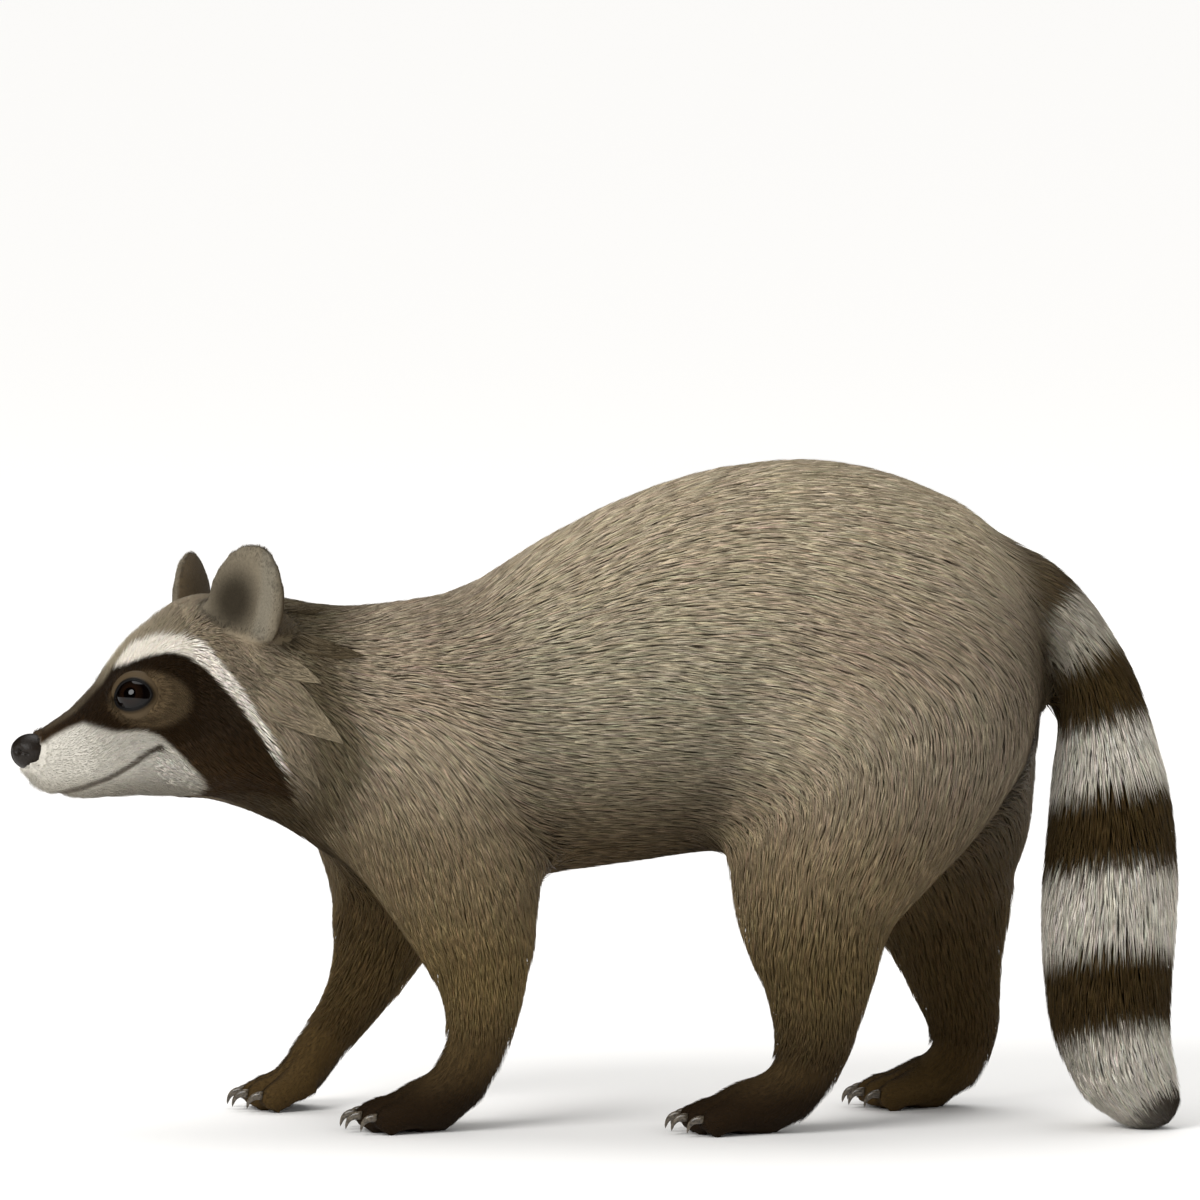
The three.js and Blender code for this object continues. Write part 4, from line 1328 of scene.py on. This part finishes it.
def growCoat(name):
    grows, kind, slot, cover, pull, colourAt = coatPieces[name]
    roots, normals, room = scatter(grows, cover)
    hairy = ~bareSkin(roots, normals, readBody(roots))
    roots, normals, room = roots[hairy], normals[hairy], room[hairy]
    body = readBody(roots)
    lies = lieOfCoat(roots, normals, body)
    count = len(roots)
    lengths = body["length"] * dice.uniform(*coat["lengths"], count)
    fromEye, _ = nearEye(roots)
    heights = room * dice.uniform(*coat["heights"], count) * (0.3 + 0.7 * smoothStep(fromEye, 1.3, 2.8))
    heights *= 0.35 + 0.65 * smoothStep(offNose(roots), 1.1, 1.7)
    shape = tuftLines(roots, normals, lies, lengths, heights, kind)
    if pull:
        shape = gatherTips(roots, shape, pull)
    base = coatColours(pointAlong(shape, colourAt), normals)
    return pieceOfTufts(name, shape, normals, lengths, kind, base, body)


def growLocks():
    shapes, facings, bases, lengths = [], [], [], []
    for hand in (1, -1):
        for root, tip, half, hue in locks["rows"]:
            places = toHead(np.array([root, tip], float)) * np.array([1, hand, 1])
            root, tip = headPoint(places)
            way = tip - root
            long = np.linalg.norm(way)
            across = unit(np.cross(way, np.array(skinTree.find_nearest(root)[1])))
            count = int(locks["dense"] * long * half)
            isNape = hue == "nape"
            start = dice.uniform(-0.05 if isNape else -0.45, locks["start"], count)
            run = np.minimum(dice.uniform(*locks["run"], count), 1.02 - start)
            side = dice.uniform(-1, 1, count)
            places, facing = [], None
            for share in (0, 0.36, 0.72, 1):
                at = start + share * run
                wide = half * np.clip(1 - at, 0, 1) ** 0.9 * smoothStep(at, -1.2, 0.1) + 0.4
                aim = root + at[:, None] * way + (side * wide)[:, None] * across
                found = [skinTree.find_nearest(p) for p in aim.tolist()]
                here = np.array([f[1] for f in found])
                facing = here if facing is None else facing
                room = np.array([skinBody["room"][skinTriangles[f[2]][0]] for f in found])
                height = room * (0.2 + 0.75 * min(share / 0.5, 1))
                height = height + locks["lift"] * smoothStep(at, 0, 0.7) * share
                height = height * (1 - 0.12 * dice.random(count))
                places.append(np.array([f[0] for f in found]) + here * height[:, None])
            shape = np.stack(places, 1)
            own = coatColours(shape[:, 0], facing)
            lit = np.tile(hues[hue], (count, 1)) * np.exp(0.08 * dice.normal(size=count))[:, None]
            shapes.append(shape)
            facings.append(facing)
            bases.append(lit if isNape else mix(own, lit, smoothStep(start + 0.5 * run, 0.05, 0.6)))
            lengths.append(long * run)
    shape, normals, base, lengths = (np.concatenate(part) for part in (shapes, facings, bases, lengths))
    body = readBody(shape[:, 0])
    return pieceOfTufts("coat_locks", shape, normals, lengths, "long", base, body)


hairMaterial = tintedMaterial("guard hair", guardHair)
coatTriangles = sum(growCoat(name) for name in coatPieces)
coatTriangles += growLocks()
print("coat:", coatTriangles, "triangles")


# Eyeballs

eyeball = {
    "rows": 40,
    "around": 64,
    "cornea": 0.5,  # mm that it stands proud
    "corneaReach": 42,  # degrees from the axis
    "iris": [  # hue from the middle of the pupil (0) to a quarter turn round the ball (1)
        (0.0, "#010101"), (0.17, "#020101"), (0.2, "#140a05"), (0.36, "#0d0704"), (0.42, "#040202"),
        (0.6, "#070504"), (1.0, "#0d0806"),
    ],
}


# Eye: a wet cornea over a dark brown iris. Near black, with a sharp bright reflection.
def wetEye():
    material, tree = newMaterial("wet eye")
    ring = addNode(tree, "Attribute", {"attribute_name": "fromPupil"})
    ramp = addNode(tree, "ValToRGB", links={"Fac": ring.outputs["Fac"]})
    setStops(ramp, eyeball["iris"])
    shader = addNode(
        tree, "BsdfPrincipled",
        {"Roughness": 0.03, "IOR": 1.376, "Specular IOR Level": 0.36},
        {"Base Color": ramp.outputs["Color"]},
    )
    finishMaterial(tree, shader)
    return material


def makeEye(name, hand, material):
    centre, axis, forward, upward = eyes[name]
    rows, around = eyeball["rows"], eyeball["around"]
    thetas = math.pi * np.arange(1, rows) / rows
    angles = np.arange(around) * 2 * math.pi / around
    bulge = eyeball["cornea"] * (1 - smoothStep(thetas, 0.0, math.radians(eyeball["corneaReach"])))
    outward = np.cos(angles)[:, None] * forward + np.sin(angles)[:, None] * upward
    away = (eye["radius"] - 0.05 + bulge)[:, None, None]
    rings = centre + away * (np.sin(thetas)[:, None, None] * outward + np.cos(thetas)[:, None, None] * axis)
    points, faces = capped(rings, centre + axis * (eye["radius"] + 0.45), centre - axis * eye["radius"])
    if hand > 0:
        faces = [f[::-1] for f in faces]
    made = makeObject(name + "_eyeball", points, *flatten(faces), [material])
    ring = np.concatenate([np.repeat(thetas, around), [0, math.pi]]) / (math.pi / 2)
    layer = made.data.attributes.new("fromPupil", "FLOAT", "POINT")
    layer.data.foreach_set("value", ring.astype(np.float32))
    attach(made, "root")
    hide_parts(name + "_eye")
    return made


eyeMaterial = wetEye()
makeEye("left", 1, eyeMaterial)
makeEye("right", -1, eyeMaterial)


# Nose pad

# Nose leather: bare pebbled skin, black-brown and moist. Soft highlights broken by fine cells.
def noseLeather():
    material, tree = newMaterial("nose leather")
    place = addNode(tree, "TexCoord")
    cells = addNode(
        tree, "TexVoronoi", {"Scale": 1 / (0.75 * metre), "feature": "SMOOTH_F1"},
        {"Vector": place.outputs["Object"]},
    )
    ramp = addNode(tree, "ValToRGB", links={"Fac": cells.outputs["Distance"]})
    # darker into the grooves between the cells: painted shade
    setStops(ramp, [(0.0, "#211a13"), (1.0, "#0d0906")])
    bump = addNode(
        tree, "Bump", {"Strength": 0.6, "Distance": 0.25 * metre, "invert": True},
        {"Height": cells.outputs["Distance"]},
    )
    shader = addNode(
        tree, "BsdfPrincipled",
        {"Roughness": 0.44, "Specular IOR Level": 0.22},
        {"Base Color": ramp.outputs["Color"], "Normal": bump.outputs["Normal"]},
    )
    finishMaterial(tree, shader)
    return material


def makeNose():
    rows, around = 56, 96
    thetas = math.pi * np.arange(1, rows) / rows
    angles = np.arange(around) * 2 * math.pi / around
    theta, angle = np.meshgrid(thetas, angles, indexing="ij")
    ahead, side, up = np.cos(theta), np.sin(theta) * np.sin(angle), np.sin(theta) * np.cos(angle)
    directions = np.stack([ahead, side, up], -1)
    tips = np.array([[1.0, 0, 0], [-1.0, 0, 0]])

    def shaped(direction):
        oneSide = direction * np.array([1, 0, 1]) + np.abs(direction) * np.array([0, 1, 0])
        hole, slitEnd = unit(np.array(nosePad["nostril"])), unit(np.array(nosePad["slitEnd"]))
        fromHole = np.linalg.norm(oneSide - hole, axis=-1)
        step = slitEnd - hole
        share = np.clip((oneSide - hole) @ step / (step @ step), 0, 1)[..., None]
        fromSlit = np.linalg.norm(oneSide - hole - share * step, axis=-1)
        fromWing = np.linalg.norm(oneSide - unit(hole + np.array([0, 0.1, 0.42])), axis=-1)
        wing = np.exp(-((fromWing / 0.24) ** 2))
        cleft = np.exp(-((direction[..., 1] / 0.07) ** 2)) * (1 - smoothStep(direction[..., 2], -0.1, 0.3))
        cleft = cleft * smoothStep(direction[..., 0], 0.1, 0.5)
        sink = nosePad["holeDepth"] * np.exp(-((fromHole / 0.17) ** 2))
        sink = np.maximum(sink, nosePad["slitDepth"] * np.exp(-((fromSlit / 0.09) ** 2)))
        sink = sink + nosePad["cleft"] * cleft - 0.5 * wing
        place = direction * np.array(nosePad["size"]) - direction * sink[..., None]
        place[..., 1] *= 1 - 0.16 * smoothStep(-direction[..., 2], -0.2, 0.9)  # narrower below
        return place

    offset = np.array(nosePad["centre"])
    rings = headPoint(shaped(directions) + offset)
    ends = headPoint(shaped(tips) + offset)
    points, faces = capped(rings, ends[0], ends[1])
    made = makeObject("nose_pad", points, *flatten(faces), [noseLeather()])
    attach(made, "root")
    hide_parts("nose")
    return made


makeNose()


# Claws: a curved horn over each claw's solid

claws = {"thick": 2.3, "flat": 0.72, "taper": 0.86, "rings": 9, "around": 14}  # thick in mm


# Claw horn: keratin, grey-brown at the root and paler and smoother to the tip
def clawHorn():
    material, tree = newMaterial("claw horn")
    place = addNode(tree, "TexCoord")
    grain = addNode(
        tree, "TexNoise", {"Scale": 1 / (1.2 * metre), "Detail": 3.0},
        {"Vector": place.outputs["Object"]},
    )
    ramp = addNode(tree, "ValToRGB", links={"Fac": grain.outputs["Fac"]})
    setStops(ramp, [(0.3, "#241d15"), (0.75, "#6b6152")])
    bump = addNode(
        tree, "Bump", {"Strength": 0.2, "Distance": 0.15 * metre}, {"Height": grain.outputs["Fac"]}
    )
    shader = addNode(
        tree, "BsdfPrincipled", {"Roughness": 0.3, "IOR": 1.54},
        {"Base Color": ramp.outputs["Color"], "Normal": bump.outputs["Normal"]},
    )
    finishMaterial(tree, shader)
    return material


def makeClaws():
    clawNodes = sorted(n for n in nodes if "claw" in n)
    points, faces, count = [], [], 0
    angles = np.arange(claws["around"]) * 2 * math.pi / claws["around"]
    for name in clawNodes:
        low, high = (np.array(corner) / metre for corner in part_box(name))
        middle = (low[1] + high[1]) / 2
        base = np.array([high[0] + 2.5, middle, high[2] - 1.2])
        knee = np.array([low[0] + 0.8, middle, high[2] - 0.4])
        tip = np.array([low[0] + 0.1, middle, low[2] + 0.3])
        rings = []
        for k in range(claws["rings"]):
            t = k / claws["rings"]
            centre = (1 - t) ** 2 * base + 2 * t * (1 - t) * knee + t * t * tip
            ahead = unit(2 * (1 - t) * (knee - base) + 2 * t * (tip - knee))
            across = np.array([0.0, 1.0, 0.0])
            upward = np.cross(ahead, across)
            radius = claws["thick"] * (1 - claws["taper"] * t**1.4)
            sideways, high = claws["flat"] * np.cos(angles)[:, None], np.sin(angles)[:, None]
            rings.append(centre + radius * (sideways * across + high * upward))
        made, madeFaces = capped(np.array(rings), base, tip)
        points.append(made)
        faces += [[i + count for i in f] for f in madeFaces]
        count += len(made)
    made = makeObject("claws", np.concatenate(points), *flatten(faces), [clawHorn()])
    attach(made, "root")
    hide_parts(*clawNodes)
    return made


makeClaws()
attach(skin, "root")
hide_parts(*fleshNodes)
print("body made")


# Stage: a flat paper floor whose far part glows softly, studio light and a long lens

stage = {"radius": 90.0, "paper": "#f4f2ef", "around": 96, "glow": 0.5, "glowFrom": 0.8, "glowTo": 4.5}  # m


def makeFloor():
    turns = np.arange(stage["around"]) * 2 * math.pi / stage["around"]
    points = stage["radius"] * np.stack([np.cos(turns), np.sin(turns), 0 * turns], 1)
    material, tree = newMaterial("matt paper")
    place = addNode(tree, "TexCoord")
    away = addNode(tree, "VectorMath", {}, {0: place.outputs["Object"]})
    away.operation = "LENGTH"
    glow = addNode(
        tree, "MapRange",
        {"From Min": stage["glowFrom"], "From Max": stage["glowTo"], "To Max": stage["glow"]},
        {"Value": away.outputs["Value"]},
    )
    glow.interpolation_type = "SMOOTHSTEP"
    paper = (*linear(stage["paper"]), 1)
    shader = addNode(
        tree, "BsdfPrincipled", {"Base Color": paper, "Roughness": 0.9, "Emission Color": paper},
        {"Emission Strength": glow.outputs["Result"]},  # the floor stays pale where the lamps don't reach
    )
    finishMaterial(tree, shader)
    floor = makeObject("paper_floor", points / metre, *flatten([list(range(len(points)))]), [material])


lights = {  # place in m, size in m, power in W
    "key": ((-1.6, -2.2, 2.0), 1.9, 84),
    "fill": ((3.4, -3.0, 1.4), 3.6, 34),
    "top": ((0.3, 1.2, 3.2), 3.2, 60),
}
roomLight = {"Color": (0.97, 0.985, 1.0, 1), "Strength": 0.66}


def makeLights():
    for name, (at, size, power) in lights.items():
        lamp = bpy.data.lights.new(name, "AREA")
        lamp.shape = "DISK"
        lamp.size = size
        lamp.energy = power
        holder = placeObject(name, lamp)
        holder.location = at
        holder.visible_glossy = name != "fill"  # one clear highlight on wet surfaces
        holder.rotation_mode = "QUATERNION"
        holder.rotation_quaternion = (Vector((0, 0, 0.17)) - Vector(at)).to_track_quat("-Z", "Y")
    world = bpy.data.worlds.new("soft room")
    bpy.context.scene.world = world
    world.cycles_visibility.glossy = False
    world.use_nodes = True
    for name, value in roomLight.items():
        world.node_tree.nodes["Background"].inputs[name].default_value = value


view = {
    "lens": 300,  # mm on a 36 mm sensor
    "elevation": 4,  # degrees
    "aim": (3.1, 0, 271.6),  # mm: the point that the camera looks at
    "width": 624,  # mm of the scene across the view
}


def makeCamera():
    camera = bpy.data.cameras.new("camera")
    camera.lens = view["lens"]
    camera.sensor_width = 36
    holder = placeObject("camera", camera)
    elevation = math.radians(view["elevation"])
    back = Vector((0, -math.cos(elevation), math.sin(elevation)))
    distance = view["width"] * metre * view["lens"] / camera.sensor_width
    holder.location = Vector(view["aim"]) * metre + back * distance
    holder.rotation_mode = "QUATERNION"
    holder.rotation_quaternion = (-back).to_track_quat("-Z", "Y")
    camera.clip_start, camera.clip_end = 0.1, 100
    bpy.context.scene.camera = holder


makeFloor()
makeLights()
makeCamera()
bpy.context.scene.view_settings.view_transform = "Standard"
print("stage made")
